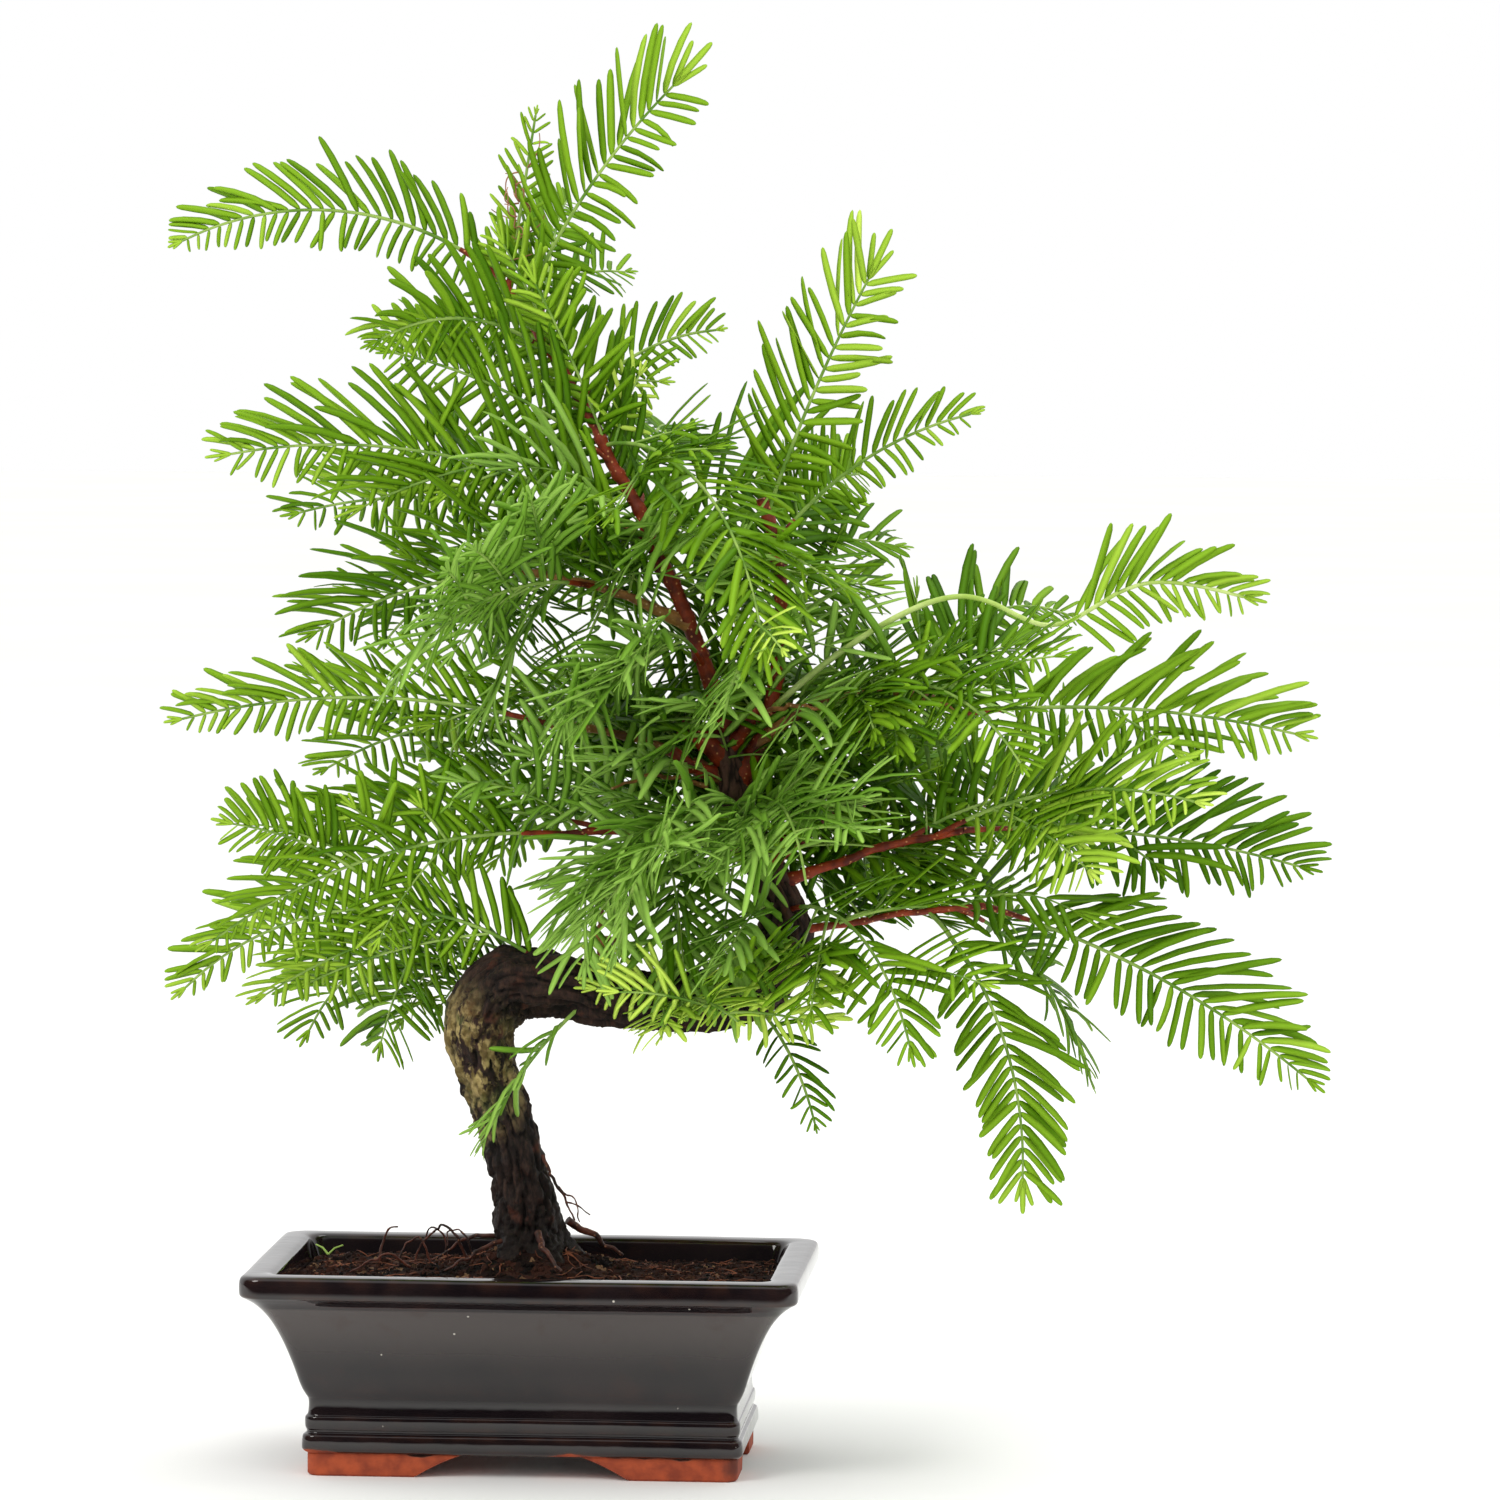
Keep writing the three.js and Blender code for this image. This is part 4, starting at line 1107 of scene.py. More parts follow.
def make_limbs():
    for bark, label in ((RED_BARK, "limbs_red"), (TAN_BARK, "limbs_tan")):
        rows = [row for row in LIMBS if LIMB_BARKS.get(row[0], RED_BARK) is bark]
        paths = [limb_tube(row[0], row[1], row[7], row[8], 3.7 * k) for k, row in enumerate(rows)]
        piece = tubes(label, paths, sides=14, material=bark, relief=0.5, grain=(0.5, 0.5, 0.35))
        finish_piece(piece, "young_bark", *(row[0] for row in rows))


make_limbs()


# %% [markdown]
# A tree that was shaped with shears keeps the marks. Stubs stand where shoots were cut, knobby with healed
# bark at the fork, and thin roots leave the foot of the trunk above the soil, and run into it.

# %% Stubs, bare twigs and surface roots
STUBS = [
    # places in mm, and the thickness at the foot and the tip
    ([(61, 1, 231), (54, -3, 238), (47, -4, 241)], 3.6, 2.9),
    ([(58, 0, 226), (50, -5, 229), (45, -6, 234)], 2.6, 1.9),
    ([(64, 1, 235), (69, -4, 242), (72, -5, 248)], 2.6, 1.9),
    ([(25, -4, 160), (24, -7, 168), (24, -8, 173)], 2.5, 1.9),
    ([(76, -2, 196), (84, -5, 202), (89, -6, 206)], 1.9, 1.4),
]
BARE_TWIGS = [
    ([(23, -3, 163), (21, -5, 174), (23, -6, 188)], 1.1, 0.6),
    ([(25, -3, 163), (28, -6, 175), (31, -8, 186)], 0.9, 0.5),
    ([(72, -2, 246), (90, -14, 249), (107, -18, 241)], 0.9, 0.45),
    ([(56, -2, 222), (40, -12, 226), (26, -18, 222)], 0.9, 0.45),
]
ROOTS = [
    ([(3, -4, 101), (7, -6, 93), (11, -7, 86), (14, -8, 80)], 0.6, 0.3),
    ([(8, -6, 91), (13, -8, 87), (15, -11, 83), (16, -12, 80)], 0.4, 0.2),
    ([(11, -7, 86), (15, -8, 85), (19, -8, 82)], 0.35, 0.18),
    ([(-10, -8, 73), (-15, -12, 71), (-21, -15, 68), (-28, -16, 64)], 0.8, 0.3),
    ([(-11, 2, 73), (-18, 2, 73), (-26, 4, 70), (-34, 3, 65)], 0.8, 0.3),
    ([(-20, -3, 68), (-23, -4, 75), (-27, -5, 76), (-28, -6, 71)], 0.4, 0.22),
    ([(-34, -2, 65), (-36, -3, 71), (-39, -3, 73), (-43, -4, 70), (-44, -4, 64)], 0.4, 0.22),
    ([(10, 9, 78), (18, 13, 72), (28, 14, 66)], 1.4, 0.5),
    ([(2, -9, 76), (5, -16, 71), (11, -21, 65)], 1.3, 0.5),
    ([(-4, 14, 76), (-9, 23, 71), (-12, 31, 65)], 1.3, 0.5),
    ([(-22, 0, 66), (-26, -2, 74), (-30, 0, 77), (-36, 3, 73), (-40, 4, 64)], 0.55, 0.3),
    ([(-29, 6, 65), (-31, 5, 73), (-35, 5, 75), (-37, 6, 70)], 0.4, 0.22),
    ([(-52, 10, 63), (-51, 10, 70), (-49, 9, 74), (-46, 9, 75)], 0.5, 0.3),
    ([(-40, -8, 64), (-46, -12, 68), (-54, -13, 66), (-60, -12, 62)], 0.45, 0.25),
]


def bent_paths(rows, stray, seed):
    """Smooth paths through the rows' places, each with a slight wander of its own."""
    paths = []
    for k, (places, root, tip) in enumerate(rows):
        line = wander(even_line(np.array(places, float), 0.8), stray, 5.0, seed + 2.3 * k)
        paths.append((line, np.linspace(root, tip, len(line))))
    return paths


ROOT_BARK = young_bark_material("root_bark", "26110b", "6b3524", "8a5a3e")
for label, rows, stray, seed, sides, bark, relief, grain, slot in (
        ("cut_stubs", STUBS, 0.8, 1.0, 14, RED_BARK, 1.6, 0.35, "young_bark"),
        ("bare_twigs", BARE_TWIGS, 1.6, 4.0, 8, TAN_BARK, 0.3, 0.5, "young_bark"),
        ("surface_roots", ROOTS, 1.5, 7.0, 8, ROOT_BARK, 0.5, 0.6, "trunk_bark")):
    finish_piece(tubes(label, bent_paths(rows, stray, seed), sides, bark, relief, (grain,) * 3), slot)


# %% [markdown]
# ## The fronds
# A frond is a shoot with side shoots, and every shoot is set with flat needles in pairs, like a feather. The
# needles lean forward more towards the tip, are longest in the middle of the shoot, and lie in one plane,
# which is the frond's blade. It lies level on a low bough and stands on edge on many of the upper ones.
#
# The main shoots and their first side shoots grow by the same rule and the same chances as the solids did.
# The rule is then carried one order further, to the twiglets that the solids are too coarse for.

# %% Main shoots
TREE_SEED, SEED_STEP = 1941, 97  # every mass has a seed of its own, as in the solids
COOL = 6  # tones run from 0, deep, to 5, lime; 6 and 7 are greyer greens, of shoots in the crown's own shade
MASSES = [
    # name, limb, place, heading, rise, reach, arch, needle length, turn, side shoots, tone
    ("top_shoot", "leader_left", 0.92, 348, 55, 112, 22, 27, 82, 0, 2.6),
    ("top_left_arch", "leader_left", 1, 189, 6, 116, 66, 21, 86, 0, 2.6),
    ("top_sprig", "leader_left", 0.97, 49, 78, 62, 0, 13, 60, 0, 3.0),
    ("top_back", "leader_left", 0.86, 89, 30, 100, 40, 26, 40, 3, 1.6),
    ("top_front", "leader_left", 0.81, 225, 4, 84, 60, 24, 66, 3, 2.2),
    ("upper_back_left", "leader_left", 0.65, 139, 14, 116, 50, 26, 50, 3, 1.6),
    ("left_fan_upper", "leader_left", 0.56, 203, 26, 95, 30, 29, 74, 2, 2.2),
    ("left_fan_front", "leader_left", 0.39, 196, 12, 156, 45, 32, 74, 2, 2.6),
    ("left_fan_back", "leader_left", 0.32, 160, 8, 150, 45, 30, 62, 2, 1.5),
    ("front_arch", "leader_left", 0.61, 309, -34, 136, 85, 29, 14, 3, 2.0),
    ("right_of_leader", "leader_left", 0.71, 36, 24, 65, 40, 22, 66, 2, 2.6),
    ("left_middle", "bough_left_upper", 1, 191, -16, 81, 30, 30, 68, 1, 1.6),
    ("left_middle_front", "bough_left_upper", 0.58, 229, -18, 108, 60, 29, 48, 4, 6.2),
    ("left_middle_back", "bough_left_upper", 0.82, 135, -15, 104, 50, 26, 40, 3, 1.2),
    ("left_long", "bough_left_middle", 1, 192, 1, 128, 30, 23, 70, 1, 2.8),
    ("left_long_back", "bough_left_middle", 0.78, 156, -9, 112, 40, 26, 50, 3, 2.0),
    ("left_lower", "bough_left_lower", 0.78, 184, 0, 112, 30, 25, 66, 1, 2.0),
    ("left_low_front", "bough_left_lower", 1, 204, -15, 134, 40, 25, 62, 3, 2.4),
    ("left_lowest", "trunk", 0.44, 188, 0, 146, 90, 24, 68, 2, 3.0),
    ("left_lowest_back", "trunk", 0.42, 155, -12, 118, 100, 28, 50, 3, 1.6),
    ("centre_left", "leader_left", 0.13, 252, 0, 84, 80, 30, 44, 5, 6.3),
    ("front_left_droop", "trunk", 0.91, 246, -27, 111, 90, 31, 40, 5, 6.6),
    ("front_upper", "leader_middle", 0.35, 262, -5, 96, 90, 28, 36, 4, 6.5),
    ("front_middle", "trunk", 0.865, 285, -5, 108, 90, 30, 38, 5, 6.3),
    ("front_right_low", "trunk", 0.77, 301, -22, 112, 80, 28, 42, 3, 2.2),
    ("centre_right", "bough_right_upper", 0.3, 318, 0, 76, 80, 24, 44, 4, 1.8),
    ("upper_right_shoot", "leader_middle", 0.94, 344, 66, 106, 10, 27, 84, 0, 3.0),
    ("right_top_sprig", "leader_middle", 0.84, 6, 34, 84, 40, 18, 76, 0, 2.6),
    ("right_top_back", "leader_middle", 0.72, 73, 24, 92, 50, 24, 50, 2, 2.0),
    ("right_arch", "leader_middle", 0.27, 352, 10, 172, 44, 30, 80, 0, 2.8),
    ("right_arch_front", "bough_right_upper", 0.56, 308, -12, 100, 60, 26, 46, 1, 1.9),
    ("right_arch_back", "bough_right_upper", 0.7, 54, 14, 106, 60, 26, 40, 2, 1.6),
    ("right_middle", "bough_right_upper", 1, 0, -3, 117, 20, 29, 72, 1, 2.5),
    ("right_front", "bough_right_middle", 0.86, 329, 9, 110, 40, 28, 58, 2, 3.5),
    ("right_low_middle", "bough_right_middle", 1, 7, -6, 120, 20, 30, 68, 1, 1.0),
    ("right_back", "bough_right_middle", 0.68, 46, 5, 114, 40, 26, 48, 4, 1.6),
    ("right_lower", "bough_right_lower", 1, 354, -27, 128, 24, 28, 74, 0, 2.2),
    ("right_hanging", "bough_right_lower", 0.72, 317, -62, 112, 60, 23, 40, 0, 2.4),
    ("right_hanging_back", "bough_right_lower", 0.87, 49, -43, 98, 50, 26, 50, 1, 1.8),
    ("back_left", "bough_back_left", 1, 127, 8, 92, 60, 28, 20, 4, 1.6),
    ("back_left_low", "bough_back_left", 0.72, 146, -22, 104, 60, 28, 30, 4, 1.4),
    ("back_right", "bough_back_right", 1, 86, 12, 90, 60, 28, 20, 4, 1.6),
    ("back_right_low", "bough_back_right", 0.72, 80, -33, 74, 50, 28, 30, 3, 1.3),
    ("back_upper", "leader_left", 0.46, 88, 12, 114, 70, 26, 20, 4, 1.5),
    ("low_front", "trunk", 0.545, 302, -2, 65, 30, 20, 40, 2, 4.6),
    ("low_left_sprig", "trunk", 0.475, 220, -46, 72, 30, 21, 40, 0, 6.4),
    ("low_hanging", "trunk", 0.655, 315, -49, 58, 40, 14, 60, 0, 1.2),
]
MASS_NAMES = [row[0] for row in MASSES]
# How many steps at a main shoot's foot bear no needles, where that isn't two.
BARE_STEPS = {"right_arch": 15, "top_shoot": 1, "top_left_arch": 1, "upper_right_shoot": 1, "top_sprig": 1}
# Wispy fronds round the left leader: how many of their side shoots grow on, and how long their needles are.
WISPY = {"top_back": (1, 19), "top_front": (0, 26), "upper_back_left": (0, 22), "right_of_leader": (1, 17),
         "back_upper": (2, 22)}
# Strong upright shoots keep long needles to the tip; the others end in short fresh ones.
LONG_TIPS = {"top_shoot": 0.85, "upper_right_shoot": 0.8, "right_hanging": 0.6, "front_arch": 0.6}
SHORT_TIP = 0.32
PAST_TIP = 0.8  # the share of a needle by which the last one stands past the end of the line
BOWED = {"right_arch": (26, 15, 17, 13)}  # mm: the middle forward and up, the place past it down, the tip up
SAG_AT, SAG_WIDTH = 0.62, 0.13  # that place and how far the sag spreads, as shares of the line


def mass_line(row, past=PAST_TIP):
    """A main shoot's line; its reach is measured to the tip of its last needle."""
    _, limb, place, heading, rise, reach, arch, needle = row[:8]
    return grow(place_on(limb_lines[limb], place), heading, rise, reach - needle * past, arch)


def bowed(name, line):
    """The line bent by the four amounts of its row, or as it is where it has none."""
    forward, up, sag, tip = BOWED.get(name, (0, 0, 0, 0))
    done = np.linspace(0, 1, len(line))[:, None]
    low_place = np.exp(-((done - SAG_AT) / SAG_WIDTH) ** 2)
    out = np.sin(math.pi * done) * (0, -forward, up)
    return line + out + (tip * done ** 3 - sag * low_place) * (0, 0, 1)


main_lines = [mass_line(row) for row in MASSES]
print(f"{len(MASSES)} main shoots, {sum(arc_length(line)[-1] for line in main_lines) * MM:.1f} m in all")


# %% [markdown]
# A place belongs to the frond whose main shoot is nearest. That one test keeps fifty fronds from growing
# through each other, and gives the crown its gaps of sky.

# %% Room between fronds
def distance_to_line(places, line, girth=None):
    """Distance from every place to a line, less the line's thickness there."""
    places = np.atleast_2d(places)
    start, run = line[:-1], np.diff(line, axis=0)
    share = np.clip(((places[:, None] - start) * run).sum(-1) / (run ** 2).sum(-1), 0, 1)
    away = np.linalg.norm(start + share[..., None] * run - places[:, None], axis=-1)
    if girth is not None:
        away = away - (girth[:-1] + share * np.diff(girth))
    return away.min(axis=1)


SPACE_MARGIN = 3.8  # mm by which a place has to be nearer to its own main shoot than to any other
LIMB_MARGIN = 2.2   # mm between a side shoot and the wood


def is_free(places, mass):
    """Which places are the main shoot's own, and clear of the wood."""
    own = distance_to_line(places, main_lines[mass])
    free = np.ones(len(places), bool)
    for other, line in enumerate(main_lines):
        if other != mass:
            free &= distance_to_line(places, line) >= own + SPACE_MARGIN
    for name, line in limb_lines.items():
        free &= distance_to_line(places, line, limb_girths[name]) > LIMB_MARGIN
    return free


tips = np.array([is_free(line[-1:], mass)[0] for mass, line in enumerate(main_lines)])
print(f"{tips.sum()} of {len(tips)} main shoots have room for more at the tip")


# %% Side shoots
@dataclass
class Shoot:
    line: np.ndarray     # its places in millimetres, foot first
    level: np.ndarray    # the level direction square across its heading
    turn: float          # how far the frond's blade stands up from level, in degrees
    needle: float        # length of its longest needles
    bare: float          # length at its foot that bears none
    tone: float          # 0 deep green to 5 lime, or COOL and more
    order: int           # 1 main shoot, 2 side shoot, 3 twiglet, 4 inner sprig
    tip: float = 0.45    # length of its last needles, as a share of the longest


SIDE = {"tries": 8, "from": 0.14, "to": 0.75, "stray": 0.6, "angle": 36, "spread": 18, "roll": 50,
        "longest": 0.58, "shortest": 0.34, "vary": 0.2, "arch": 24, "fewest": 3, "needle": 0.9, "kept": 0.85}


def side_path(main, place, angle, hand, length, arch):
    """A line that leaves a shoot at an angle to its left or right; its level direction comes with it."""
    ahead, left, _ = directions_along(main.line, main.level, main.turn)
    index = int(place * (len(main.line) - 1) + 0.5)
    way = ahead[index] * math.cos(angle) + left[index] * hand * math.sin(angle)
    heading = math.degrees(math.atan2(way[1], way[0]))
    rise = math.degrees(math.asin(np.clip(way[2], -1, 1)))
    return grow(main.line[index], heading, rise, length, arch), direction(heading + 90, 0)


def side_shoots(main, mass, reach, count, chance):
    """Shoots to left and right in turn along a main shoot, cut short where another frond begins."""
    shoots = []
    for k in range(SIDE["tries"]):
        if len(shoots) >= count:
            break
        tried = (k + SIDE["stray"] * chance.draw()) / SIDE["tries"]
        place = SIDE["from"] + (SIDE["to"] - SIDE["from"]) * tried
        angle = math.radians(SIDE["angle"] + SIDE["spread"] * chance.draw())
        share = SIDE["longest"] + (SIDE["shortest"] - SIDE["longest"]) * place
        length = reach * share * (1 + SIDE["vary"] * (2 * chance.draw() - 1))
        turn = main.turn + SIDE["roll"] * (chance.draw() - 0.5)
        line, level = side_path(main, place, angle, 1 if k % 2 == 0 else -1, length, SIDE["arch"])
        blocked = np.flatnonzero(~is_free(line, mass) & (np.arange(len(line)) > 1))
        if len(blocked):
            line = line[:max(0, blocked[0] - 1)]
        if len(line) > SIDE["fewest"]:
            line = line[:max(3, int(SIDE["kept"] * len(line) + 0.5))]
            shoots.append(Shoot(line, level, turn, SIDE["needle"] * main.needle, STEP, main.tone, 2))
    return shoots


print(f"a main shoot may try {SIDE['tries']} places for its side shoots")


# %% Twiglets
TWIGLET = {"pitch": 15.0, "angle": 40, "spread": 22, "share": 0.42, "least": 17.0, "most": 46.0,
           "needle": 0.78, "bare": 3.0, "arch": 20}


def twiglets(parent, chance, most):
    """Short shoots to left and right in turn along a shoot, longest near its foot."""
    length = arc_length(parent.line)[-1]
    free_run = length - parent.bare
    shoots = []
    count = min(most, int(free_run / TWIGLET["pitch"]))
    for k in range(count):
        place = (parent.bare + free_run * (k + 0.2 + 0.6 * chance.draw()) / (count + 0.6)) / length
        angle = math.radians(TWIGLET["angle"] + TWIGLET["spread"] * chance.draw())
        reach = length * TWIGLET["share"] * (1.15 - 0.6 * place) * chance.between(0.75, 1.2)
        reach = min(max(reach, TWIGLET["least"]), TWIGLET["most"])
        hand = 1 if (k + parent.order) % 2 == 0 else -1
        turn = parent.turn + chance.between(-30, 30)
        line, level = side_path(parent, place, angle, hand, reach, TWIGLET["arch"])
        tone = parent.tone + chance.between(-0.5, 0.6)
        needle = TWIGLET["needle"] * parent.needle * chance.between(0.85, 1.1)
        shoots.append(Shoot(line, level, turn, needle, TWIGLET["bare"], tone, 3))
    return shoots


def grow_fronds():
    shoots = []
    for mass, (row, line) in enumerate(zip(MASSES, main_lines)):
        name, _, _, heading, _, reach, _, needle, turn, sides, tone = row
        sides, needle = WISPY.get(name, (sides, needle))
        main = Shoot(line, direction(heading + 90, 0), turn, needle, bare=STEP * BARE_STEPS.get(name, 2),
                     tone=tone, order=1, tip=LONG_TIPS.get(name, SHORT_TIP))
        seed = TREE_SEED + SEED_STEP * mass
        sides = side_shoots(main, mass, reach, sides, Chance(seed))
        main = replace(main, line=bowed(name, mass_line(row, main.tip)))
        shoots += [main, *sides]
        if len(sides) > 2:
            shoots += twiglets(main, Chance(seed + 31), 2)
    return shoots


fronds = grow_fronds()
print(f"{len(fronds)} shoots of three orders")


# %% [markdown]
# The middle of the crown is dense, because short sprigs stand on the leaders, the boughs and the trunk's
# upper part. They leave all round the limb at places that chance gives, and are darker, since they grow in
# shade.

# %% Inner sprigs
# By limb: how many sprigs, and the shortest and the longest, in mm.
SPRIGS = {"leader_left": (13, 34, 60), "leader_middle": (12, 30, 54), "bough_right_upper": (9, 30, 54),
          "bough_right_middle": (8, 30, 52), "bough_right_lower": (6, 26, 46),
          "bough_left_upper": (9, 34, 58), "bough_left_middle": (9, 34, 58), "bough_left_lower": (8, 30, 54),
          "bough_back_left": (8, 30, 54), "bough_back_right": (8, 30, 54), "trunk": (17, 32, 58)}
OPEN_IN_FRONT = ("bough_right_middle", "bough_right_lower", "leader_middle")  # their bark shows
SPRIGS_FROM, SPRIGS_TO = {"trunk": 0.8}, {"leader_left": 0.5, "leader_middle": 0.75}
GOLDEN_TURN = 137.5  # degrees from one sprig to the next, which keeps them out of each other's shade
NEAR_SIDE = (200, 340)  # the headings, in degrees, that lead towards the viewer


def sprig(foot, heading, rise, length, arch, **rest):
    return Shoot(grow(foot, heading, rise, length, arch), direction(heading + 90, 0), **rest)


def inner_sprigs():
    """Sprigs all round every limb, but none before the bark that shows."""
    chance = Chance(4242)
    shoots = []
    for name, (count, shortest, longest) in SPRIGS.items():
        first, last = SPRIGS_FROM.get(name, 0.12), SPRIGS_TO.get(name, 0.98)
        for k in range(count):
            foot = place_on(limb_lines[name], first + (last - first) * (k + chance.draw()) / count)
            heading = (k * GOLDEN_TURN + chance.between(-25, 25)) % 360
            rise, length = chance.between(-12, 38), chance.between(shortest, longest)
            arch = chance.between(20, 60)
            near_side = NEAR_SIDE[0] < heading < NEAR_SIDE[1]
            if near_side and name in OPEN_IN_FRONT:
                continue
            tone = chance.between(COOL, COOL + 1.2) if near_side else chance.between(0.6, 2.2)
            shoots.append(sprig(foot, heading, rise, length, arch, turn=chance.between(0, 60),
                                needle=chance.between(27, 37), bare=7.0, tone=tone, order=4, tip=0.6))
    return shoots


# Sprigs that show one by one: on the left leader and the boughs over the level run, and lime ones before it.
LONE_SPRIGS = [
    # line, place, heading, rise, length, arch, needle length, turn, tone
    ("bough_left_lower", 0.12, 262, -58, 54, 30, 27, 10, 6.4),
    ("bough_left_lower", 0.32, 236, -66, 50, 30, 27, 20, 1.6),
    ("bough_left_lower", 0.5, 290, -62, 56, 30, 26, 15, 6.6),
    ("bough_left_lower", 0.9, 275, -60, 46, 20, 25, 20, 6.2),
    ("trunk", 0.85, 203, -8, 68, 50, 26, 70, 6.3),
    ("trunk", 0.78, 255, -15, 58, 50, 27, 25, 6.5),
    ("trunk", 0.74, 285, -12, 56, 40, 26, 30, 3.0),
    ("trunk", 0.69, 262, 5, 50, 40, 25, 30, 2.4),
    ("bough_right_lower", 0.14, 50, 24, 50, 20, 27, 30, 1.4),
    ("bough_right_lower", 0.3, 80, 8, 54, 30, 27, 30, 1.8),
    ("bough_right_lower", 0.42, 40, 40, 46, 20, 26, 40, 2.0),
    ("bough_left_upper", 0.5, 250, -50, 54, 30, 28, 20, 6.3),
    ("bough_left_upper", 0.8, 225, -55, 50, 30, 28, 30, 6.5),
    ("leader_left", 0.6, 226, 60, 62, 10, 26, 20, 2.6),
    ("leader_left", 0.78, 215, 62, 46, 10, 25, 20, 2.9),
    ("front_arch", 0.97, 300, -20, 22, 20, 14, 60, 5.3),
    ("front_arch", 0.94, 205, -34, 20, 20, 13, 60, 5.3),
    ("front_arch", 0.05, 60, 58, 26, 20, 15, 60, 5.2),
    ("low_front", 0.35, 187, 6, 27, 20, 18, 72, 5.4),
    ("low_front", 0.45, 352, 0, 44, 20, 19, 66, 5.4),
    ("low_front", 0.75, 200, 10, 30, 20, 18, 70, 5.4),
    ("low_front", 0.9, 8, -6, 32, 20, 18, 70, 5.2),
]


def lone_sprigs():
    lines = limb_lines | dict(zip(MASS_NAMES, main_lines))
    shoots = []
    for name, place, heading, rise, length, arch, needle, turn, tone in LONE_SPRIGS:
        shoots.append(sprig(place_on(lines[name], place), heading, rise, length, arch, turn=turn,
                            needle=needle, bare=12.0 if name == "trunk" else 4.0, tone=tone, order=2,
                            tip=0.5))
    return shoots


def seedling():
    """A weed that came up in the soil near the pot's left end."""
    return [sprig(np.array([-71.0, 24.0, 63.5]), heading, 30, 6.0, 50, turn=40, needle=3.6, bare=3.4,
                  tone=3.4, order=3) for heading in (20, 150)]


# The left leader's upper half is a feather itself.
leader = limb_lines["leader_left"]
upper_leader = leader[int(0.42 * len(leader)):]
fronds.append(Shoot(upper_leader, direction(270, 0), turn=82, needle=27, bare=0.0, tone=1.8, order=1,
                    tip=0.9))
fronds += inner_sprigs() + lone_sprigs() + seedling()
print(f"{len(fronds)} shoots with the inner sprigs")


# %% [markdown]
# ## Needles
# One needle is a flat blade, folded a little along its middle, with a stalk and a blunt point. It is made
# once, a unit long. For every needle on the tree the script works out a place, a way ahead, a face, a size
# and how far its tip bends, and keeps them on one point. The node tree sets a blade on each point, turns it
# by the two directions, makes it real, and then bends it: the further along the blade, the more, as the
# square.

# %% Blade
# The blade's width along it, and its section: left edge, fold, right edge, back.
BLADE_RINGS = [(0.0, 0.34), (0.04, 0.62), (0.13, 0.94), (0.42, 1.0), (0.74, 0.97), (0.92, 0.78), (0.98, 0.46)]
BLADE_SECTION = [(0.5, 0.10), (0.0, -0.02), (-0.5, 0.10), (0.0, -0.15)]


def make_blade():
    """A needle one unit long and one wide, closed at the foot and with a blunt point."""
    places = [(t, y * width, z * width) for t, width in BLADE_RINGS for y, z in BLADE_SECTION]
    tip = len(places)
    places.append((1.0, 0.0, 0.0))
    walls = [(k, (k + 1) % 4, 4 + (k + 1) % 4, 4 + k) for k in range(4)]
    faces = [tuple(corner + 4 * ring for corner in wall)
             for ring in range(len(BLADE_RINGS) - 1) for wall in walls]
    faces += [(tip - 4 + k, tip - 4 + (k + 1) % 4, tip) for k in range(4)] + [(3, 2, 1, 0)]
    mesh = plain_mesh("blade", places, faces=faces)
    keep_each(mesh, t=[place[0] for place in places])
    return linked("blade", mesh)


def needle_tree():
    """A blade on every place, turned, sized, made real and then bent."""
    graph, given = new_tree("needles_on_places", Blade="object", Material="material")
    blade = graph.add("GeometryNodeObjectInfo", {"Object": given["Blade"]}).outputs["Geometry"]
    turn = graph.add("FunctionNodeAxesToRotation", {
        "Primary Axis": attribute(graph, "along", "FLOAT_VECTOR"),
        "Secondary Axis": attribute(graph, "face", "FLOAT_VECTOR")},
        primary_axis="X", secondary_axis="Z").outputs[0]
    placed = graph.add("GeometryNodeInstanceOnPoints", {
        "Points": given["Source"], "Instance": blade, "Rotation": turn,
        "Scale": attribute(graph, "size", "FLOAT_VECTOR")}).outputs[0]
    real = graph.add("GeometryNodeRealizeInstances", {0: placed}).outputs[0]
    t = attribute(graph, "t")
    bent = graph.vector("SCALE", {0: attribute(graph, "bend", "FLOAT_VECTOR"), "Scale": graph.times(t, t)})[0]
    curved = graph.add("GeometryNodeSetPosition", {"Geometry": real, "Offset": bent}).outputs[0]
    return end_tree(graph, curved, given["Material"])


NEEDLES = needle_tree()
print("needle tree:", len(NEEDLES.nodes), "nodes")


# %% Needles along a shoot
TONES = [("deep", "426c0c"), ("shade", "52800e"), ("mid", "679414"), ("bright", "80ac22"),
         ("fresh", "9fc63a"), ("lime", "c8e65c"), ("cool", "74a233"), ("cool_light", "97c254")]
SHADE_FROM = COOL - 0.5  # shoots with this tone or more grew in shade
# Angles in degrees, the rest as shares of a needle; what ends in vary is the spread of chance.
NEEDLE = {"root_angle": 66, "tip_angle": 34, "angle_vary": 6.5, "foot_short": 0.6, "length_vary": 0.07,
          "lift": 0.14, "lift_vary": 0.15, "face_vary": 0.25, "face_out": 0.3, "forward_vary": 0.08,
          "side_vary": 0.1, "droop": 0.13, "droop_vary": 0.08}
FRESH_TIP_SHADED_FOOT, TONE_VARY = 1.7, 0.45  # how many tones a shoot gains towards its tip: fresh young growth there, and painted shade at its foot
FOOT_OUT = 0.35  # mm from the middle of the shoot to a needle's foot
# How a needle's share of its length and its lean, in degrees, change as it points down, level or up.
HANG = {"way": [-0.75, 0.0, 0.75], "length": [0.6, 0.9, 1.1], "lean": [20.0, 4.0, -4.0]}
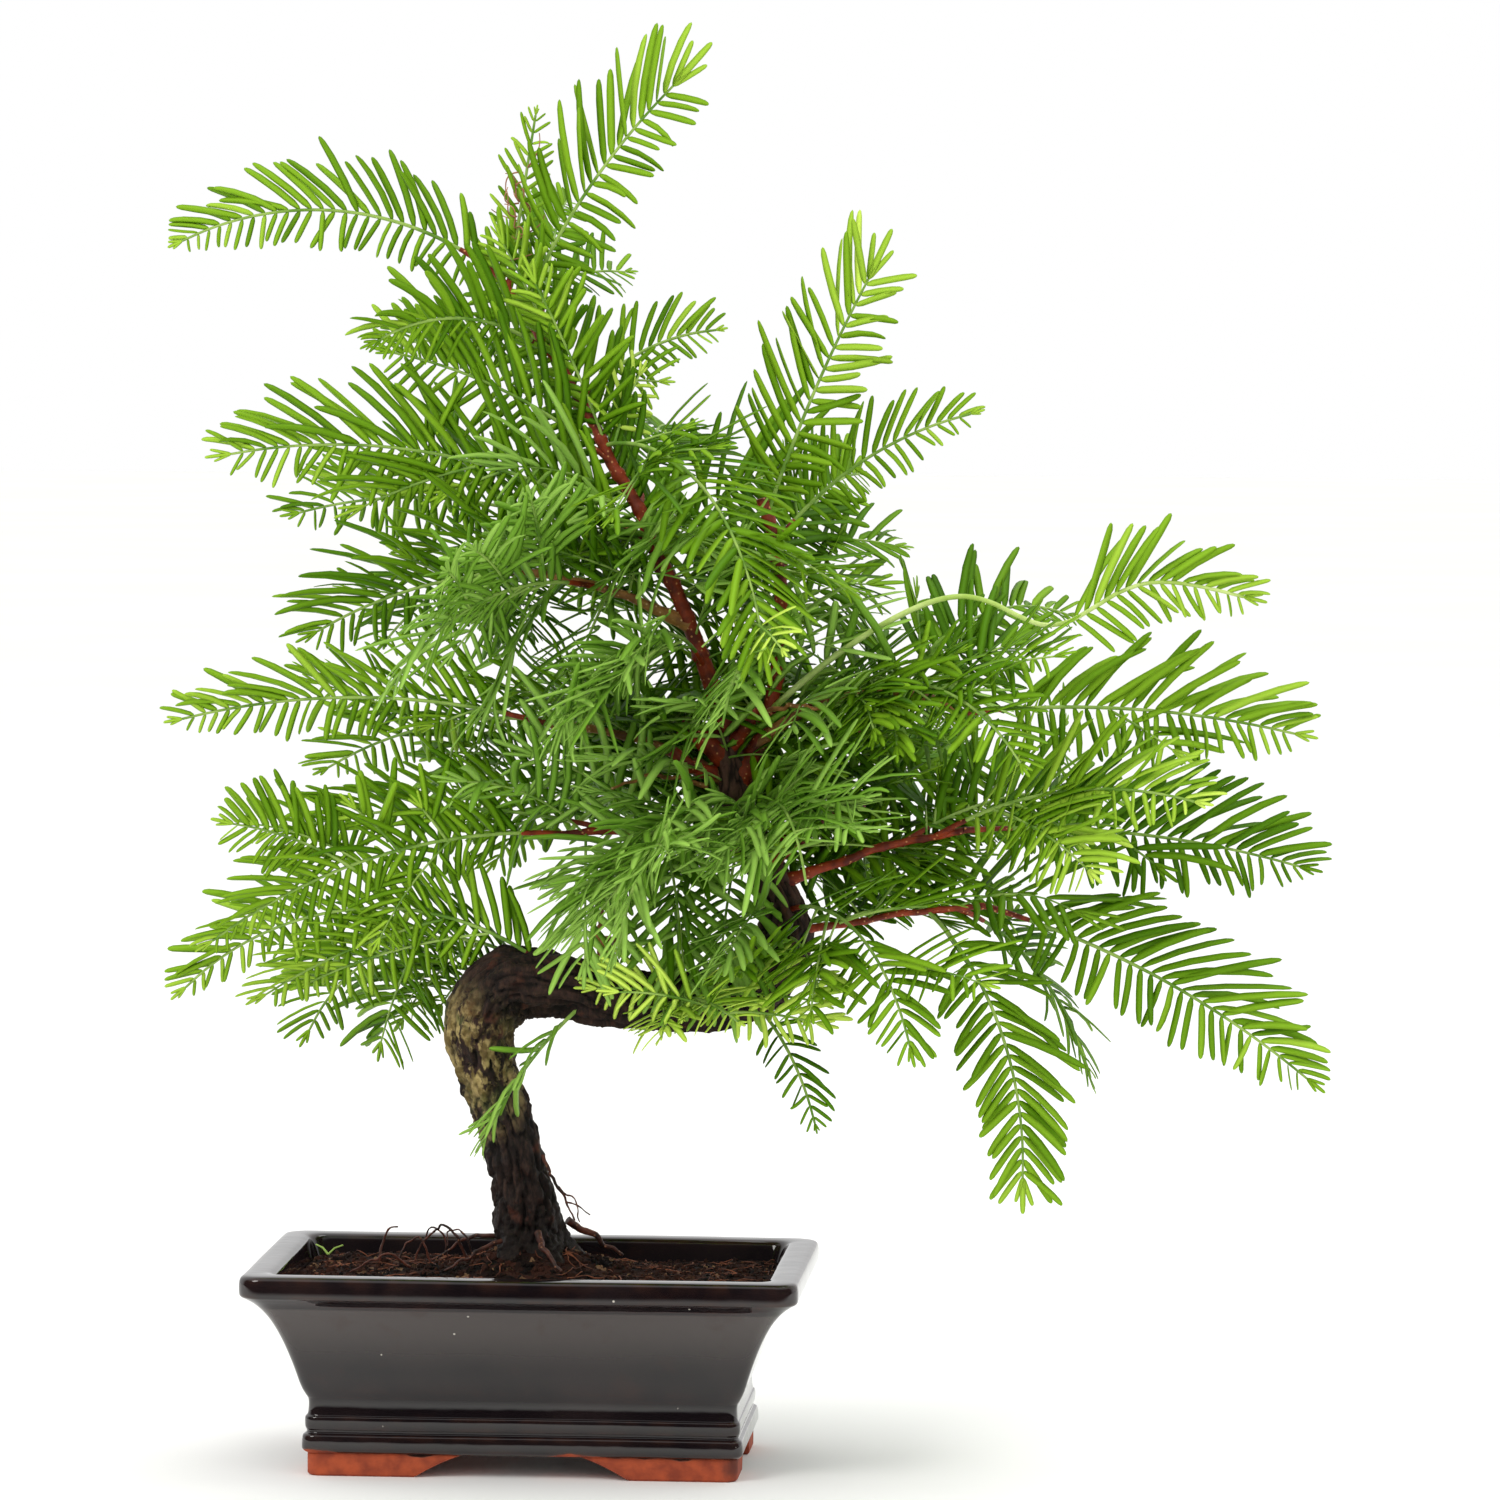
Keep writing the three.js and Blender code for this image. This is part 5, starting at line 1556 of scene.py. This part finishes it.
# By order of shoot: what two needles of one side are apart, and how wide they are, in mm.
NEEDLE_PITCH = {1: 3.8, 2: 3.9, 3: 4.2, 4: 4.9}
NEEDLE_WIDTH = {1: 2.7, 2: 2.5, 3: 2.2, 4: 2.8}
SLENDER = 0.115  # no needle is wider than this share of its shoot's longest
SOFT_IN_SHADE = 2.0  # how much more the needles of shaded shoots bend
LAST_THREE = [(0.0, 0.85), (0.36, 0.7), (-0.3, 0.6)]  # how far to the left they point, and how long they are


def needles_on(shoot, chance):
    """Foot, way ahead, face, length, bend, tone and width of every needle on a shoot."""
    line = even_line(shoot.line, NEEDLE_PITCH[shoot.order] / 2)
    ahead, left, up = directions_along(line, shoot.level, shoot.turn)
    length = arc_length(line)
    last_pair = length[-1] - 0.45 * NEEDLE_PITCH[shoot.order]
    pairs = [i for i in range(1, len(line), 2) if shoot.bare < length[i] < last_pair]
    if not pairs:
        return []
    pairs = np.repeat(pairs, 2)
    n = len(pairs)
    hand = np.tile([1.0, -1.0], n // 2)
    done = length[pairs] / length[-1]
    tip_way, tip_face, on_left = ahead[-1], up[-1], left[-1]
    foot, ahead, left, up = line[pairs], ahead[pairs], left[pairs], up[pairs]
    upwards = hand * left[:, 2]
    in_shade = shoot.tone >= SHADE_FROM
    soft = SOFT_IN_SHADE if in_shade else 1.0
    lean = np.radians(NEEDLE["root_angle"] + (NEEDLE["tip_angle"] - NEEDLE["root_angle"]) * done
                      + chance.normal(0, NEEDLE["angle_vary"], n))
    share = np.interp(done, [0, 0.28, 0.62, 0.86, 1],
                      [NEEDLE["foot_short"], 1, 1, 0.5 + 0.5 * shoot.tip, shoot.tip])
    size = shoot.needle * share * chance.normal(1, NEEDLE["length_vary"], n)
    lift = NEEDLE["lift"] + chance.normal(0, NEEDLE["lift_vary"], n)
    lean = lean + np.radians(np.interp(upwards, HANG["way"], HANG["lean"]))
    way = unit(ahead * np.cos(lean)[:, None] + left * (hand * np.sin(lean))[:, None] + up * lift[:, None])
    size = size * np.interp(upwards, HANG["way"], HANG["length"])
    face = up + NEEDLE["face_vary"] * chance.normal(0, 1, (n, 3)) + NEEDLE["face_out"] * left * hand[:, None]
    foot = foot + left * (FOOT_OUT * hand)[:, None]
    forward = (np.interp(upwards, [-0.7, 0.3], [-0.1, 0.2]) * (1.1 - 0.8 * done)
               + soft * chance.normal(0, NEEDLE["forward_vary"], n))
    sideways = soft * chance.normal(0, NEEDLE["side_vary"], n)
    bend = ahead * (size * forward)[:, None] + up * (size * sideways)[:, None]
    level_part = np.hypot(way[:, 0], way[:, 1])
    droop = np.clip(chance.normal(NEEDLE["droop"], NEEDLE["droop_vary"], n), -0.03, 0.35)
    bend[:, 2] -= soft * size * level_part * droop
    first, last = (COOL, len(TONES) - 1) if in_shade else (0, COOL - 1)
    # Darker at the shoot's foot, as painted shade inside the crown, and fresher towards the tip, where growth
    # is young.
    tone = shoot.tone - 0.8 + FRESH_TIP_SHADED_FOOT * done ** 1.3 + chance.normal(0, TONE_VARY, n)
    tone = np.clip(tone, first, last)
    # The shoot ends in three needles that point on, one tone and a little fresher.
    ends = []
    for spread, share in LAST_THREE:
        onward = unit(tip_way + spread * on_left + 0.1 * tip_face)
        size_there = shoot.needle * share * shoot.tip
        ends.append((line[-1], onward, tip_face, size_there, 0 * onward, min(shoot.tone + 1.2, last)))
    width = min(NEEDLE_WIDTH[shoot.order], SLENDER * shoot.needle)
    rows = list(zip(foot, way, face, size, bend, tone)) + ends
    return [row + (width * min(1.0, row[3] / (0.8 * shoot.needle)) ** 0.7,) for row in rows]


example = needles_on(fronds[0], np.random.default_rng(1))
print(f"{len(example)} needles on the first shoot, {min(row[3] for row in example):.0f} mm long and more")


# %% Needles of the whole crown
@dataclass
class NeedleSet:
    foot: np.ndarray
    way: np.ndarray
    face: np.ndarray
    length: np.ndarray
    bend: np.ndarray
    tone: np.ndarray
    width: np.ndarray


# Wood that shows from the front: its line, from where to where, and half the width of the gap before it.
GAPS = [("bough_right_middle", 0.08, 0.85, 4.6), ("bough_right_lower", 0.1, 0.7, 3.8),
        ("right_arch", 0.03, 0.58, 4.4), ("leader_left", 0.48, 0.62, 4.6), ("leader_left", 0.12, 0.3, 4.6),
        ("trunk", 0.94, 0.99, 6.0)]
CROWN_MIDDLE = (30.0, 0.0, 240.0)
TO_FRONT = unit(np.array(CAMERA["place"]) - CROWN_MIDDLE)
BOX_MARGIN, LEAST_KEPT = 1.2 * MM, 0.25  # clear of the box's sides, and the least share of a needle


def in_gap(places):
    """Whether a place lies before one of the pieces of wood that show."""
    arch_row = MASSES[MASS_NAMES.index("right_arch")]
    lines = limb_lines | {"right_arch": bowed("right_arch", mass_line(arch_row))}
    inside = np.zeros(len(places), bool)
    for name, first, last, room in GAPS:
        for share in np.linspace(first, last, 14):
            away = places - place_on(lines[name], share)
            before = away @ TO_FRONT
            aside = np.linalg.norm(away - before[:, None] * TO_FRONT, axis=1)
            inside |= (before > 1.5) & (aside < room)
    return inside


def kept_in_box(rows):
    """Needles cut short where they would pass the box of the solids."""
    low, high = np.array(cad_box)
    foot, end = to_frame(rows.foot), to_frame(rows.foot + rows.way * rows.length[:, None] + rows.bend)
    room = np.where(end > foot, high - foot, foot - low) - BOX_MARGIN
    share = np.clip((room / np.maximum(np.abs(end - foot), 1e-9)).min(axis=1), LEAST_KEPT, 1)
    print(f"{(share < 1).sum()} needles cut short at the sides of the box")
    return replace(rows, length=rows.length * share, bend=rows.bend * share[:, None])


def all_needles():
    chance = np.random.default_rng(TREE_SEED)
    rows = [row for shoot in fronds for row in needles_on(shoot, chance)]
    columns = NeedleSet(*(np.array(column) for column in zip(*rows)))
    kept = np.ones(len(columns.length), bool)
    for share in (0.35, 0.7, 1.0):
        spots = columns.foot + columns.way * (columns.length * share)[:, None] + columns.bend * share ** 2
        kept &= distance_to_line(spots, trunk_line, trunk_girth) > 0.6
        kept &= (spots[:, 2] > 64) & ~in_gap(spots)
    print(f"{kept.sum()} needles, {(~kept).sum()} left out for the trunk, the soil and the gaps")
    return kept_in_box(NeedleSet(*(getattr(columns, name)[kept] for name in columns.__dataclass_fields__)))


needles = all_needles()


# %% [markdown]
# ## Greens
# No two fronds have quite the same green. Old ones in the shade are deep, new growth at the tips is fresh to
# lime, and the soft ones in the middle of the crown are cooler. Each tone is one plain colour, and each
# needle takes the tone that its shoot, its place on the shoot and a little chance give; towards the foot of a
# shoot it is darker, as painted shade inside the crown. The shine is faint and broad, so that the needles
# look soft and not glassy.

# %% Needle finishes and pieces
MOST_NEEDLES = 4000  # in one piece


def needle_places(wanted):
    """A mesh of bare points that carries all that the tree has to know of every needle."""
    mesh = plain_mesh("places", to_frame(needles.foot[wanted]).tolist())
    length, width = needles.length[wanted] * MM, needles.width[wanted] * MM
    keep_each(mesh, along=needles.way[wanted], face=needles.face[wanted], bend=needles.bend[wanted] * MM,
              size=np.column_stack([length, width, width]))
    return linked("places", mesh)


def make_needles():
    blade = make_blade()
    step = np.clip(np.rint(needles.tone), 0, len(TONES) - 1).astype(int)
    for index, (label, code) in enumerate(TONES):
        chosen = np.flatnonzero(step == index)
        material, _, _ = new_material(f"needle_green_{label}", Roughness=0.5, IOR=1.3, Specular_IOR_Level=0.2,
                                      Base_Color=colour(code))
        for part, wanted in enumerate(np.array_split(chosen, max(1, math.ceil(len(chosen) / MOST_NEEDLES)))):
            piece = run_tree(f"needles_{label}_{part + 1}", needle_places(wanted), NEEDLES, Blade=blade,
                             Material=material)
            finish_piece(piece, "needles", *MASS_NODES)
    bpy.data.objects.remove(blade)


make_needles()


# %% [markdown]
# ## Twigs
# New shoots are pale green and no thicker than a match. On the main shoots the first part has already turned
# to thin red-brown wood.

# %% Green shoots and woody feet
# Radius at the foot and the tip in mm, by order of shoot, and for the one with the long bare stem.
SHOOT_GIRTH = {1: (0.75, 0.42), 2: (0.55, 0.34), 3: (0.42, 0.28), 4: (0.45, 0.28)}
ARCH_GIRTH, WOODY_GIRTH = (1.15, 0.55), (1.15, 0.8)
WOODY_SHARE, WOODY_MOST = 0.14, 40.0  # a shoot with a longer bare foot than this is green all along


def make_twigs():
    green, pale, woody = [], [], []
    for shoot in fronds:
        long_stem = shoot.bare > WOODY_MOST
        root, tip = ARCH_GIRTH if long_stem else SHOOT_GIRTH[shoot.order]
        line = even_line(shoot.line, 2.6)
        girth = np.linspace(root, tip, len(line))
        if shoot.order == 1 and not long_stem and shoot.tip <= SHORT_TIP:
            turned = max(3, int(WOODY_SHARE * len(line)))
            woody.append((line[:turned + 1], np.linspace(*WOODY_GIRTH, turned + 1)))
            line, girth = line[turned:], girth[turned:]
        (pale if long_stem else green).append((line, girth))
    for label, paths, sides, dark, light, relief in (("green_shoots", green, 5, "618c2c", "9cba5c", 0.0),
                                                     ("pale_stems", pale, 10, "9dbb52", "c6da86", 0.2)):
        finish = two_tone_material(label, dark, light, (90, 700), 0.25, Roughness=0.5, IOR=1.3)
        finish_piece(tubes(label, paths, sides, finish, relief), "needles", *MASS_NODES)
    finish_piece(tubes("woody_shoots", woody, 7, RED_BARK, relief=0.25, grain=(0.7, 0.7, 0.5)), "young_bark")


make_twigs()


# %% Dry curls on the top sprig
CURLS = 13


def make_curls():
    """Needles that dried to curled threads."""
    chance = Chance(77)
    stem = main_lines[MASS_NAMES.index("top_sprig")]
    paths = []
    for _ in range(CURLS):
        heading, rise = chance.between(0, 360), chance.between(-20, 50)
        coil = chance.between(-32, 32)
        strides = [direction(heading + 9 * i, rise + coil * i) for i in range(14)]
        line = place_on(stem, chance.between(0.05, 0.8)) + np.cumsum(strides, axis=0)
        paths.append((line, np.linspace(0.32, 0.16, len(line))))
    material = young_bark_material("dry_needles", "8a4a30", "c58a66", "d9ab86")
    finish_piece(tubes("dry_curls", paths, 5, material), "young_bark")


make_curls()
